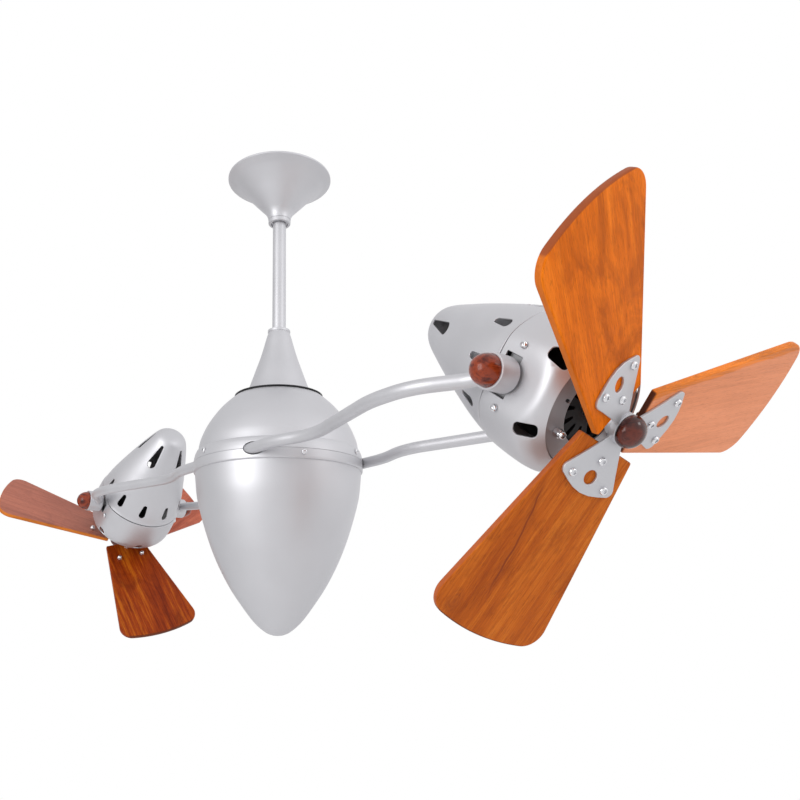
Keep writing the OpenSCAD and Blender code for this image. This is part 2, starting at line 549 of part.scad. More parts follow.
hanger_bracket();
hanger_ball();
ball_pin();
downrod();
canopy();
canopy_collar();
coupling_cover();
spindle();
clevis_pin();
slip_ring();
spindle_nut();
upper_shell();
lower_shell();
carrier_plate();
main_bearings();
brush_holder();
arm_tube_front();
arm_tube_rear();
arm_clamps();
clamp_screws();
body_screws();
pivot_cups();
pivot_caps();
run_capacitors();
a_rear_shell();
a_front_shell();
a_motor_bracket();
a_pivot_bolts();
a_friction_washers();
a_motor_stator();
a_ring_plate();
a_standoff_screws();
a_shell_screws();
a_motor_bearings();
a_motor_shaft();
a_blade_hub();
a_blade_1();
a_blade_2();
a_blade_3();
a_blade_screws();
a_blade_nuts();
a_hub_cap();
b_rear_shell();
b_front_shell();
b_motor_bracket();
b_pivot_bolts();
b_friction_washers();
b_motor_stator();
b_ring_plate();
b_standoff_screws();
b_shell_screws();
b_motor_bearings();
b_motor_shaft();
b_blade_hub();
b_blade_1();
b_blade_2();
b_blade_3();
b_blade_screws();
b_blade_nuts();
b_hub_cap();
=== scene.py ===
import json
import math

import bmesh
import bpy
import numpy as np
from mathutils import Matrix, Vector
from mathutils.geometry import delaunay_2d_cdt


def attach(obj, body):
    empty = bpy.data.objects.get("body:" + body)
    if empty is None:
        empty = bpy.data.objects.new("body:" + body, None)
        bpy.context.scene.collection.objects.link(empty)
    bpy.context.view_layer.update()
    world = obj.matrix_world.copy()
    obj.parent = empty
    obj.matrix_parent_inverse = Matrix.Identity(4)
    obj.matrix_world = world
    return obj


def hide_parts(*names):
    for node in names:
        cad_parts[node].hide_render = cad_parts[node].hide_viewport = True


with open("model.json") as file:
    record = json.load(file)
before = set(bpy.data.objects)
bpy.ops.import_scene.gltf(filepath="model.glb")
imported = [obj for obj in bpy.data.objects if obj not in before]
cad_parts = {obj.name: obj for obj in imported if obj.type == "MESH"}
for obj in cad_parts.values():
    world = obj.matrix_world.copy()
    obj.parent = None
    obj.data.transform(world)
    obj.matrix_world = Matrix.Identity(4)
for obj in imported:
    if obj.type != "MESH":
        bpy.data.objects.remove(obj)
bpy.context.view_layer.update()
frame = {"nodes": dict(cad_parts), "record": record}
S = bpy.context.scene
MM = 0.001
rad = math.radians

# ---------------------------------------------------------------- dimensions
# the same lengths as the CAD, in millimetres
ZS = -430.0            # seam of the turning body
REACH = 434.5          # down rod's axis to each head's pivot
TILT = 38.1
TURN = {"a": 107.3, "b": 112.7}
ROD_R = 9.525
RB = 112.2             # body radius at its seam
WALL = 1.8
ARM_R = 7.0
CUP_R = 16.6
CUP_IN, CUP_RIM = 67.6, 90.0
FLAT = 64.6
SEAM_S = -19.0
HEAD_WALL = 1.6
PITCH = 12.5
TIP_R = 215.0
ROOT_W, TIP_W, BLADE_X0, TIP_ROUND = 65.5, 136.0, 20.5, 20.0
BLADE_Z = 80.0
BLADE_T = 6.5

# ---------------------------------------------------------------- camera
cam_data = bpy.data.cameras.new("camera")
cam = bpy.data.objects.new("camera", cam_data)
S.collection.objects.link(cam)
az, yaw, tip_up, roll = 0.6098, 0.056, 0.2794, 0.0117
f0 = Vector((-math.cos(az), math.sin(az), 0.0))
s0 = Vector((math.sin(az), math.cos(az), 0.0))
fh = s0 * math.sin(yaw) + f0 * math.cos(yaw)
sh = s0 * math.cos(yaw) - f0 * math.sin(yaw)
up = Vector((0, 0, 1))
fwd = fh * math.cos(tip_up) + up * math.sin(tip_up)
u1 = up * math.cos(tip_up) - fh * math.sin(tip_up)
r2 = sh * math.cos(roll) - u1 * math.sin(roll)
u2 = sh * math.sin(roll) + u1 * math.cos(roll)
rot = Matrix((r2, u2, -fwd)).transposed().to_4x4()
cam.matrix_world = Matrix.Translation((0.83308, -0.58195, -0.63141)) @ rot
cam_data.sensor_width = 36.0
cam_data.lens = 34.785
cam_data.shift_x = 0.09937
cam_data.clip_start, cam_data.clip_end = 0.02, 200.0
S.camera = cam

# ---------------------------------------------------------------- mesh helpers


def new_object(name, bm, material, matrix=None, angle=32.0, slot=None):
    """Mesh object from bm, whose coordinates are millimetres in the piece's own frame."""
    bmesh.ops.recalc_face_normals(bm, faces=bm.faces)
    bmesh.ops.scale(bm, vec=(MM, MM, MM), verts=bm.verts)
    bm.normal_update()
    lim = rad(angle)
    for f in bm.faces:
        f.smooth = True
    for ed in bm.edges:
        if len(ed.link_faces) == 2:
            ed.smooth = ed.calc_face_angle(0.0) < lim
        else:
            ed.smooth = True
    me = bpy.data.meshes.new(name)
    bm.to_mesh(me)
    bm.free()
    ob = bpy.data.objects.new(name, me)
    S.collection.objects.link(ob)
    if matrix is not None:
        m = matrix.copy()
        m.translation = m.translation * MM
        ob.matrix_world = m
    me.materials.append(material)
    return ob


def place(ob, body, *nodes, slot=None):
    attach(ob, body)
    if nodes:
        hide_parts(*nodes)
    return ob


def catmull(p, n):
    out = []
    for i in range(len(p) - 1):
        a, b = p[max(i - 1, 0)], p[i]
        c, d = p[i + 1], p[min(i + 2, len(p) - 1)]
        for j in range(n):
            t = j / n
            out.append(tuple(
                0.5 * ((2 * b[k]) + (c[k] - a[k]) * t + (2 * a[k] - 5 * b[k] + 4 * c[k] - d[k]) * t * t
                       + (3 * b[k] - a[k] - 3 * c[k] + d[k]) * t ** 3) for k in range(len(b))))
    out.append(tuple(p[-1]))
    return out


def fillet(pts, radii, seg=5, closed=False, sup=0.35):
    """Polyline with its corners rounded and a support point beside each arc's ends."""
    n = len(pts)
    out = []
    for i, p in enumerate(pts):
        r = radii[i] if hasattr(radii, "__len__") else radii
        if (not closed and i in (0, n - 1)) or r <= 0:
            out.append(tuple(p))
            continue
        a, b = Vector(pts[(i - 1) % n]), Vector(pts[(i + 1) % n])
        v = Vector(p)
        d1, d2 = (a - v), (b - v)
        l1, l2 = d1.length, d2.length
        d1.normalize(), d2.normalize()
        half = 0.5 * d1.angle(d2)
        if abs(half - math.pi / 2) < 0.03:
            out.append(tuple(p))
            continue
        cut = min(r / math.tan(half), 0.46 * l1, 0.46 * l2)
        rr = cut * math.tan(half)
        s, f = v + d1 * cut, v + d2 * cut
        centre = v + (d1 + d2).normalized() * (rr / math.sin(half))
        if l1 - cut > 2.2 * sup:
            out.append(tuple(s + d1 * sup))
        a0, a1 = s - centre, f - centre
        ang = a0.angle(a1)
        k = max(2, int(round(seg * ang / (math.pi / 2)))) if ang > 0.25 else 2
        for j in range(k + 1):
            t = j / k
            w = (math.sin((1 - t) * ang) * a0 + math.sin(t * ang) * a1) / math.sin(ang)
            out.append(tuple(centre + w))
        if l2 - cut > 2.2 * sup:
            out.append(tuple(f + d2 * sup))
    return out


def lathe_bm(profile, n=128, closed=True, bm=None, matrix=None):
    """Ring-by-ring solid of revolution about Z. profile is [(r, z)], counter-clockwise seen with r to the right."""
    bm = bm or bmesh.new()
    rings = []
    for r, z in profile:
        if abs(r) < 1e-6:
            rings.append([bm.verts.new((0, 0, z))])
        else:
            rings.append([bm.verts.new((r * math.cos(2 * math.pi * k / n), r * math.sin(2 * math.pi * k / n), z))
                          for k in range(n)])
    pairs = list(zip(rings, rings[1:]))
    if closed:
        pairs.append((rings[-1], rings[0]))
    for a, b in pairs:
        if len(a) == 1 and len(b) == 1:
            continue
        for k in range(n):
            k2 = (k + 1) % n
            if len(a) == 1:
                bm.faces.new((a[0], b[k2], b[k]))
            elif len(b) == 1:
                bm.faces.new((a[k], a[k2], b[0]))
            else:
                bm.faces.new((a[k], a[k2], b[k2], b[k]))
    if matrix is not None:
        bmesh.ops.transform(bm, matrix=matrix, verts=[v for r in rings for v in r])
    return bm


def offset_closed(poly, d):
    """Closed 2-D polygon (counter-clockwise) grown outwards by d."""
    p = np.asarray(poly, float)
    e1 = p - np.roll(p, 1, 0)
    e2 = np.roll(p, -1, 0) - p
    e1 /= np.linalg.norm(e1, axis=1)[:, None]
    e2 /= np.linalg.norm(e2, axis=1)[:, None]
    n1 = np.c_[e1[:, 1], -e1[:, 0]]
    n2 = np.c_[e2[:, 1], -e2[:, 0]]
    m = n1 + n2
    m /= np.linalg.norm(m, axis=1)[:, None]
    c = np.clip((m * n1).sum(1), 0.35, 1)
    return p + m * (d / c)[:, None]


def inside(poly, q):
    """Which of the points q lie inside the closed polygon."""
    p = np.asarray(poly, float)
    x, y = q[:, 0], q[:, 1]
    res = np.zeros(len(q), bool)
    j = len(p) - 1
    for i in range(len(p)):
        xi, yi = p[i]
        xj, yj = p[j]
        cond = (yi > y) != (yj > y)
        with np.errstate(divide="ignore", invalid="ignore"):
            res ^= cond & (x < (xj - xi) * (y - yi) / (yj - yi + 1e-30) + xi)
        j = i
    return res


def near_poly(poly, q, d):
    p = np.asarray(poly, float)
    a, b = p, np.roll(p, -1, 0)
    ab = b - a
    out = np.zeros(len(q), bool)
    for i in range(len(p)):
        t = np.clip(((q - a[i]) @ ab[i]) / (ab[i] @ ab[i] + 1e-12), 0, 1)
        out |= np.linalg.norm(q - (a[i] + t[:, None] * ab[i]), axis=1) < d
    return out


def circle2(cx, cy, r, n=28):
    return [(cx + r * math.cos(2 * math.pi * k / n), cy + r * math.sin(2 * math.pi * k / n)) for k in range(n)]


def drop_shape(x0, r0, x1, r1, n=12):
    """Outline of two unequal round ends joined by their tangents, counter-clockwise, x0 < x1."""
    d = x1 - x0
    ph = math.asin((r1 - r0) / d)
    out = []
    for k in range(n + 1):
        t = -math.pi / 2 - ph + 0 * k
        a = -(math.pi / 2 + ph) + (math.pi + 2 * ph) * k / n
        out.append((x1 + r1 * math.cos(a), r1 * math.sin(a)))
    for k in range(n + 1):
        a = (math.pi / 2 + ph) + (math.pi - 2 * ph) * k / n
        out.append((x0 + r0 * math.cos(a), r0 * math.sin(a)))
    return out


def rrect2(w, h, r, n=6):
    out = []
    for cx, cy, a0 in ((w / 2 - r, -h / 2 + r, -90), (w / 2 - r, h / 2 - r, 0), (-w / 2 + r, h / 2 - r, 90),
                       (-w / 2 + r, -h / 2 + r, 180)):
        for k in range(n + 1):
            a = rad(a0 + 90 * k / n)
            out.append((cx + r * math.cos(a), cy + r * math.sin(a)))
    return out


def layered(tri, pts2, metric, surf, rings, pole_q=None, seam=None, bm=None):
    """Closed sheet from a 2-D triangulation. surf(p, q, depth) gives 3-D points.
    rings is [(grow, depth)]: how far each ring of a cut edge stands into the opening, and how deep."""
    bm = bm or bmesh.new()
    n = len(pts2)
    remap = np.arange(n)
    if seam is not None:
        lo = {round(float(pts2[i][1]), 5): i for i in range(n) if abs(pts2[i][0] + seam) < 1e-4}
        for i in range(n):
            if abs(pts2[i][0] - seam) < 1e-4:
                k = round(float(pts2[i][1]), 5)
                if k in lo:
                    remap[i] = lo[k]
    if pole_q is not None:
        pole = [i for i in range(n) if abs(pts2[i][1] - pole_q) < 1e-4]
        for i in pole:
            remap[i] = pole[0]
    tris = []
    for t in tri:
        a, b, c = (int(remap[x]) for x in t)
        if len({a, b, c}) == 3:
            tris.append((a, b, c))
    used = sorted({i for t in tris for i in t})
    P = np.array([pts2[i] for i in used], float)
    top = surf(P[:, 0], P[:, 1], np.full(len(P), rings[0][1]))
    bot = surf(P[:, 0], P[:, 1], np.full(len(P), rings[-1][1]))
    vt = {i: bm.verts.new(top[k]) for k, i in enumerate(used)}
    vb = {i: bm.verts.new(bot[k]) for k, i in enumerate(used)}
    count = {}
    for t in tris:
        for a, b in ((t[0], t[1]), (t[1], t[2]), (t[2], t[0])):
            count[(a, b)] = count.get((a, b), 0) + 1
    for t in tris:
        try:
            bm.faces.new([vt[i] for i in t])
            bm.faces.new([vb[i] for i in reversed(t)])
        except ValueError:
            pass
    border = [(a, b) for (a, b) in count if (b, a) not in count]
    # outward direction of each border vertex, in the flat domain's own millimetres
    nrm = {}
    for a, b in border:
        pa, pb = np.array(pts2[a], float), np.array(pts2[b], float)
        m = metric(pa[1])
        d = pb - pa
        if seam is not None and abs(d[0]) > seam:
            d[0] -= 2 * seam * np.sign(d[0])
        d = d * (m, 1.0)
        L = np.linalg.norm(d)
        if L < 1e-9:
            continue
        o = np.array([d[1], -d[0]]) / L
        for i in (a, b):
            nrm.setdefault(i, []).append(o)
    ring_v = []
    keys = list(nrm)
    for grow, depth in rings[1:-1]:
        pp = []
        for i in keys:
            o = np.mean(nrm[i], axis=0)
            o /= max(np.linalg.norm(o), 1e-9)
            c = max(0.4, float(np.dot(o, nrm[i][0])))
            base = np.array(pts2[i], float)
            m = metric(base[1])
            pp.append(base + grow / c * o * (1.0 / m, 1.0))
        pp = np.array(pp)
        co = surf(pp[:, 0], pp[:, 1], np.full(len(pp), depth))
        ring_v.append({i: bm.verts.new(co[k]) for k, i in enumerate(keys)})
    chain = [vt] + ring_v + [vb]
    for a, b in border:
        if a not in nrm or b not in nrm:
            continue
        for r0, r1 in zip(chain, chain[1:]):
            try:
                bm.faces.new((r0[b], r0[a], r1[a], r1[b]))
            except ValueError:
                pass
    return bm


def triangulate(points, loops, keep, grid_gap=None):
    """Delaunay triangles of points and closed or open constraint loops; keep(centroids) says which stay."""
    verts = [Vector((float(x), float(y))) for x, y in points]
    edges = []
    for loop, closed in loops:
        base = len(verts)
        verts += [Vector((float(x), float(y))) for x, y in loop]
        m = len(loop)
        edges += [(base + i, base + i + 1) for i in range(m - 1)]
        if closed:
            edges.append((base + m - 1, base))
    v, _, faces, _, _, _ = delaunay_2d_cdt(verts, edges, [], 0, 1e-6)
    pts = np.array([(p.x, p.y) for p in v])
    tri = []
    for f in faces:
        f = list(f)
        for k in range(1, len(f) - 1):
            tri.append((f[0], f[k], f[k + 1]))
    tri = np.array(tri)
    a, b, c = pts[tri[:, 0]], pts[tri[:, 1]], pts[tri[:, 2]]
    area = 0.5 * ((b[:, 0] - a[:, 0]) * (c[:, 1] - a[:, 1]) - (b[:, 1] - a[:, 1]) * (c[:, 0] - a[:, 0]))
    flip = area < 0
    tri[flip] = tri[flip][:, ::-1]
    good = (np.abs(area) > 1e-7) & keep((a + b + c) / 3)
    return tri[good], pts


def plate_bm(outline, holes, z_top, thick, rings, grid=None, bm=None):
    """Flat plate with rounded edges. outline and holes are the outermost and innermost outlines.
    rings is [(grow, depth)], grow counted from the edge of the flat middle."""
    big = max(g for g, _ in rings)
    out = offset_closed(outline, -big)
    hs = [offset_closed(h, big) for h in holes]
    pts = grid if grid is not None else []
    if len(pts):
        q = np.array(pts, float)
        ok = inside(out, q) & ~near_poly(out, q, 2.0)
        for h in hs:
            ok &= ~inside(h, q) & ~near_poly(h, q, 2.0)
        pts = q[ok]

    def keep(c):
        k = inside(out, c)
        for h in hs:
            k &= ~inside(h, c)
        return k
    tri, p2 = triangulate(pts, [(out, True)] + [(h, True) for h in hs], keep)

    def surf(p, q, d):
        return np.c_[p, q, z_top - d]
    return layered(tri, p2, lambda q: 1.0, surf, rings, bm=bm)


def edge_rings(t, r, sup=0.3, seg=3, r_low=None):
    """Rings round a plate's edge: flat support, a rounded arris of radius r on each side."""
    r_low = r if r_low is None else r_low
    out = [(0.0, 0.0), (sup, 0.0)]
    for k in range(1, seg + 1):
        a = math.pi / 2 * k / seg
        out.append((sup + r * math.sin(a), r * (1 - math.cos(a))))
    g = sup + r
    if t - r - r_low > 0.2:
        out.append((g, t - r_low))
    for k in range(1, seg + 1):
        a = math.pi / 2 * k / seg
        out.append((g - r_low * (1 - math.cos(a)), t - r_low + r_low * math.sin(a)))
    out.append((g - r_low - sup + 0.0, t))
    return out


class Skin:
    """Shell of revolution about Z with soft side flats and cut openings."""

    def __init__(self, prof, r0, thick, flat=None, soft=4.0, even=3.0, bevel=0.35):
        p = np.array(prof, float)
        keep = np.r_[True, np.linalg.norm(np.diff(p, axis=0), axis=1) > 1e-6]
        p = p[keep]
        seg = np.linalg.norm(np.diff(p, axis=0), axis=1)
        self.q = np.r_[0, np.cumsum(seg)]
        self.r, self.z = p[:, 0], p[:, 1]
        # directions evened out over a few mm, so that the inside follows steps without folding
        qa = np.clip(self.q - even / 2, 0, self.q[-1])
        qb = np.clip(self.q + even / 2, 0, self.q[-1])
        tan = np.c_[np.interp(qb, self.q, self.r) - np.interp(qa, self.q, self.r),
                    np.interp(qb, self.q, self.z) - np.interp(qa, self.q, self.z)]
        tan /= np.linalg.norm(tan, axis=1)[:, None]
        self.tr, self.tz = tan[:, 0], tan[:, 1]
        self.r0, self.thick, self.flat, self.soft = r0, thick, flat, soft
        self.side = -1.0 if self.z[-1] < self.z[0] else 1.0
        self.bevel, self.g = bevel, bevel + 0.25

    def at(self, q):
        qq = np.clip(q, self.q[0], self.q[-1])
        r = np.interp(qq, self.q, self.r)
        z = np.interp(qq, self.q, self.z)
        tr, tz = np.interp(qq, self.q, self.tr), np.interp(qq, self.q, self.tz)
        L = np.hypot(tr, tz)
        tr, tz = tr / L, tz / L
        ex = q - qq
        return r + ex * tr, z + ex * tz, tr, tz

    def q_of_z(self, z):
        if self.z[-1] > self.z[0]:
            return float(np.interp(z, self.z, self.q))
        return float(np.interp(-z, -self.z, self.q))

    def surf(self, p, q, d):
        r, z, tr, tz = self.at(np.asarray(q, float))
        # outward normal of the profile: (tz, -tr) when the run goes up
        s = self.side
        nr, nz = s * tz, -s * tr
        r = np.maximum(r - d * nr, 0.0)
        z = z - d * nz
        th = np.asarray(p, float) / self.r0
        x, y = r * np.cos(th), r * np.sin(th)
        if self.flat is not None:
            f = self.flat - d
            a = np.abs(y)
            h = np.maximum(self.soft - np.abs(a - f), 0.0) / self.soft
            y = np.sign(y) * (np.minimum(a, f) - h * h * self.soft / 4)
        return np.c_[x, y, z]

    def metric(self, q):
        return max(float(self.at(np.array([q]))[0][0]) / self.r0, 0.02)

    def shape(self, outline, th0, q0):
        """Outline given as (along the run, sideways) in mm, put at angle th0 degrees and distance q0."""
        out = []
        for a, b in offset_closed(outline, self.g):
            q = q0 + a
            out.append((self.r0 * (rad(th0) + b / max(self.metric(q) * self.r0, 1.0)), q))
        return out

    def samples(self, step_max, q_a, q_b, step_min=0.35, turn=0.10):
        """Distances along the run, closer where it bends."""
        p = np.c_[self.r, self.z]
        d = np.diff(p, axis=0)
        ang = np.unwrap(np.arctan2(d[:, 1], d[:, 0]))
        qm = (self.q[1:] + self.q[:-1]) / 2
        total = np.r_[0, np.cumsum(np.abs(np.diff(ang)))]
        qg = np.linspace(q_a, q_b, 4000)
        tg = np.interp(qg, qm, total)
        w = np.minimum((tg[1:] - tg[:-1]) / turn, (qg[1] - qg[0]) / step_min)
        load = np.r_[0, np.cumsum(np.maximum(w, (qg[1] - qg[0]) / step_max))]
        n = max(2, int(math.ceil(load[-1])))
        return [float(x) for x in np.interp(np.linspace(0, load[-1], n + 1), load, qg)]

    def build(self, openings, nth, step_max, pole=False, notches=()):
        """openings: closed polygons in (p, q). notches: open lines that cut the start edge."""
        W = math.pi * self.r0
        g = self.g
        q_a, q_b = g, float(self.q[-1]) - (0.0 if pole else g)
        qs = self.samples(step_max, q_a, q_b)
        ps = np.linspace(-W, W, nth + 1)
        grid = np.array([(p, q) for q in qs[1:-1] for p in ps[1:-1]])
        cuts = [np.array(o) for o in openings]
        nots = [np.array(o) for o in notches]
        ok = np.ones(len(grid), bool)
        for c in cuts + nots:
            lo, hi = c.min(0) - 4, c.max(0) + 4
            idx = np.where(np.all((grid > lo) & (grid < hi), axis=1))[0]
            if len(idx):
                gg = grid[idx]
                ok[idx[inside(c, gg) | near_poly(c, gg, 0.7)]] = False
        pts = list(map(tuple, grid[ok]))
        pts += [(-W, q) for q in qs] + [(W, q) for q in qs]
        start = np.array([(p, q_a) for p in ps[1:-1]])
        drop = np.zeros(len(start), bool)
        for c in nots:
            drop |= (start[:, 0] > c[:, 0].min() - 0.4) & (start[:, 0] < c[:, 0].max() + 0.4)
        pts += list(map(tuple, start[~drop])) + [(p, qs[-1]) for p in ps[1:-1]]
        loops = [(c, True) for c in cuts] + [(c, False) for c in nots]

        def keep(cen):
            k = np.ones(len(cen), bool)
            for c in cuts + nots:
                k &= ~inside(c, cen)
            return k
        tri, p2 = triangulate(pts, loops, keep)
        t, b = self.thick, self.bevel
        rings = [(0, 0), (0.25, 0.0), (0.25 + b * 0.5, b * 0.14), (0.25 + b * 0.86, b * 0.5),
                 (0.25 + b, b), (0.25 + b, t - 0.2), (0.05 + b, t), (0.0, t)]
        return layered(tri, p2, self.metric, self.surf, rings, pole_q=qs[-1] if pole else None, seam=W)


# ---------------------------------------------------------------- materials


class Tree:
    """Short hand for a material's nodes."""

    def __init__(self, name):
        self.m = bpy.data.materials.new(name)
        self.m.use_nodes = True
        self.t = self.m.node_tree
        self.b = self.t.nodes["Principled BSDF"]
        self.co = self.t.nodes.new("ShaderNodeTexCoord").outputs["Object"]

    def link(self, a, b):
        self.t.links.new(a, b)

    def mapping(self, scale, loc=(0, 0, 0), rot_=(0, 0, 0), src=None):
        n = self.t.nodes.new("ShaderNodeMapping")
        n.inputs["Scale"].default_value = scale
        n.inputs["Location"].default_value = loc
        n.inputs["Rotation"].default_value = rot_
        self.link(src or self.co, n.inputs["Vector"])
        return n.outputs[0]

    def noise(self, vec, scale, detail=3.0, rough=0.5, dist=0.0):
        n = self.t.nodes.new("ShaderNodeTexNoise")
        n.inputs["Scale"].default_value = scale
        n.inputs["Detail"].default_value = detail
        n.inputs["Roughness"].default_value = rough
        n.inputs["Distortion"].default_value = dist
        self.link(vec, n.inputs["Vector"])
        return n.outputs["Fac"]

    def ramp(self, fac, stops, interp="LINEAR"):
        n = self.t.nodes.new("ShaderNodeValToRGB")
        n.color_ramp.interpolation = interp
        el = n.color_ramp.elements
        while len(el) < len(stops):
            el.new(0.5)
        for e_, (pos, col) in zip(el, stops):
            e_.position = pos
            e_.color = (*col, 1) if len(col) == 3 else col
        self.link(fac, n.inputs["Fac"])
        return n.outputs["Color"]

    def range_(self, fac, lo, hi, a=0.0, b=1.0, clamp=True):
        n = self.t.nodes.new("ShaderNodeMapRange")
        n.clamp = clamp
        for k, v in zip(("From Min", "From Max", "To Min", "To Max"), (a, b, lo, hi)):
            n.inputs[k].default_value = v
        self.link(fac, n.inputs["Value"])
        return n.outputs["Result"]

    def math(self, op, a, b=None, c=None):
        n = self.t.nodes.new("ShaderNodeMath")
        n.operation = op
        for k, v in enumerate((a, b, c)):
            if v is None:
                continue
            if hasattr(v, "links") or hasattr(v, "is_linked"):
                self.link(v, n.inputs[k])
            else:
                n.inputs[k].default_value = v
        return n.outputs[0]

    def mix(self, fac, a, b, blend="MIX"):
        n = self.t.nodes.new("ShaderNodeMix")
        n.data_type = "RGBA"
        n.blend_type = blend
        for k, v in ((0, fac), (6, a), (7, b)):
            if hasattr(v, "is_linked"):
                self.link(v, n.inputs[k])
            elif k == 0:
                n.inputs[0].default_value = v
            else:
                n.inputs[k].default_value = (*v, 1)
        return n.outputs[2]

    def bump(self, h, strength, dist=0.0005):
        n = self.t.nodes.new("ShaderNodeBump")
        n.inputs["Strength"].default_value = strength
        n.inputs["Distance"].default_value = dist
        self.link(h, n.inputs["Height"])
        self.link(n.outputs[0], self.b.inputs["Normal"])

    def set(self, **kw):
        for k, v in kw.items():
            self.b.inputs[k.replace("_", " ")].default_value = v
        return self


def satin_metal(name, base, metallic, rough, grain=1.0):
    t = Tree(name)
    t.set(Metallic=metallic)
    broad = t.noise(t.mapping((1, 1, 1)), 14.0, 2.0)
    fine = t.noise(t.mapping((1, 1, 1)), 1500.0, 2.0, 0.6)
    lo = tuple(c * 0.955 for c in base)
    hi = tuple(min(c * 1.03, 1) for c in base)
    col = t.ramp(t.math("ADD", t.math("MULTIPLY", broad, 0.6), t.math("MULTIPLY", fine, 0.4)),
                 [(0.35, lo), (0.65, hi)])
    t.link(col, t.b.inputs["Base Color"])
    t.link(t.range_(t.math("ADD", t.math("MULTIPLY", broad, 0.5), t.math("MULTIPLY", fine, 0.5)),
                    rough - 0.035, rough + 0.035, 0.35, 0.65), t.b.inputs["Roughness"])
    t.bump(fine, 0.05 * grain, 0.0002)
    return t.m


def plated(name, base, rough, metallic=1.0, scale=900.0, bump=0.06):
    t = Tree(name)
    t.set(Metallic=metallic)
    n1 = t.noise(t.mapping((1, 1, 1)), 60.0, 3.0)
    n2 = t.noise(t.mapping((1, 1, 1)), scale, 2.0)
    t.link(t.ramp(n1, [(0.3, tuple(c * 0.9 for c in base)), (0.7, base)]), t.b.inputs["Base Color"])
    t.link(t.range_(n1, rough * 0.8, rough * 1.2, 0.3, 0.7), t.b.inputs["Roughness"])
    t.bump(n2, bump, 0.0002)
    return t.m


def dark_plastic(name, base, rough, scale=700.0, bump=0.15, metallic=0.0, spec=0.5):
    t = Tree(name)
    t.set(Metallic=metallic, Specular_IOR_Level=spec)
    n1 = t.noise(t.mapping((1, 1, 1)), 40.0, 3.0)
    n2 = t.noise(t.mapping((1, 1, 1)), scale, 2.0)
    t.link(t.ramp(n1, [(0.3, tuple(c * 0.8 for c in base)), (0.7, tuple(c * 1.15 for c in base))]),
           t.b.inputs["Base Color"])
    t.link(t.range_(n2, rough - 0.06, rough + 0.06, 0.3, 0.7), t.b.inputs["Roughness"])
    t.bump(n2, bump, 0.0002)
    return t.m


ENDG = (0.10, 0.026, 0.010)     # end grain


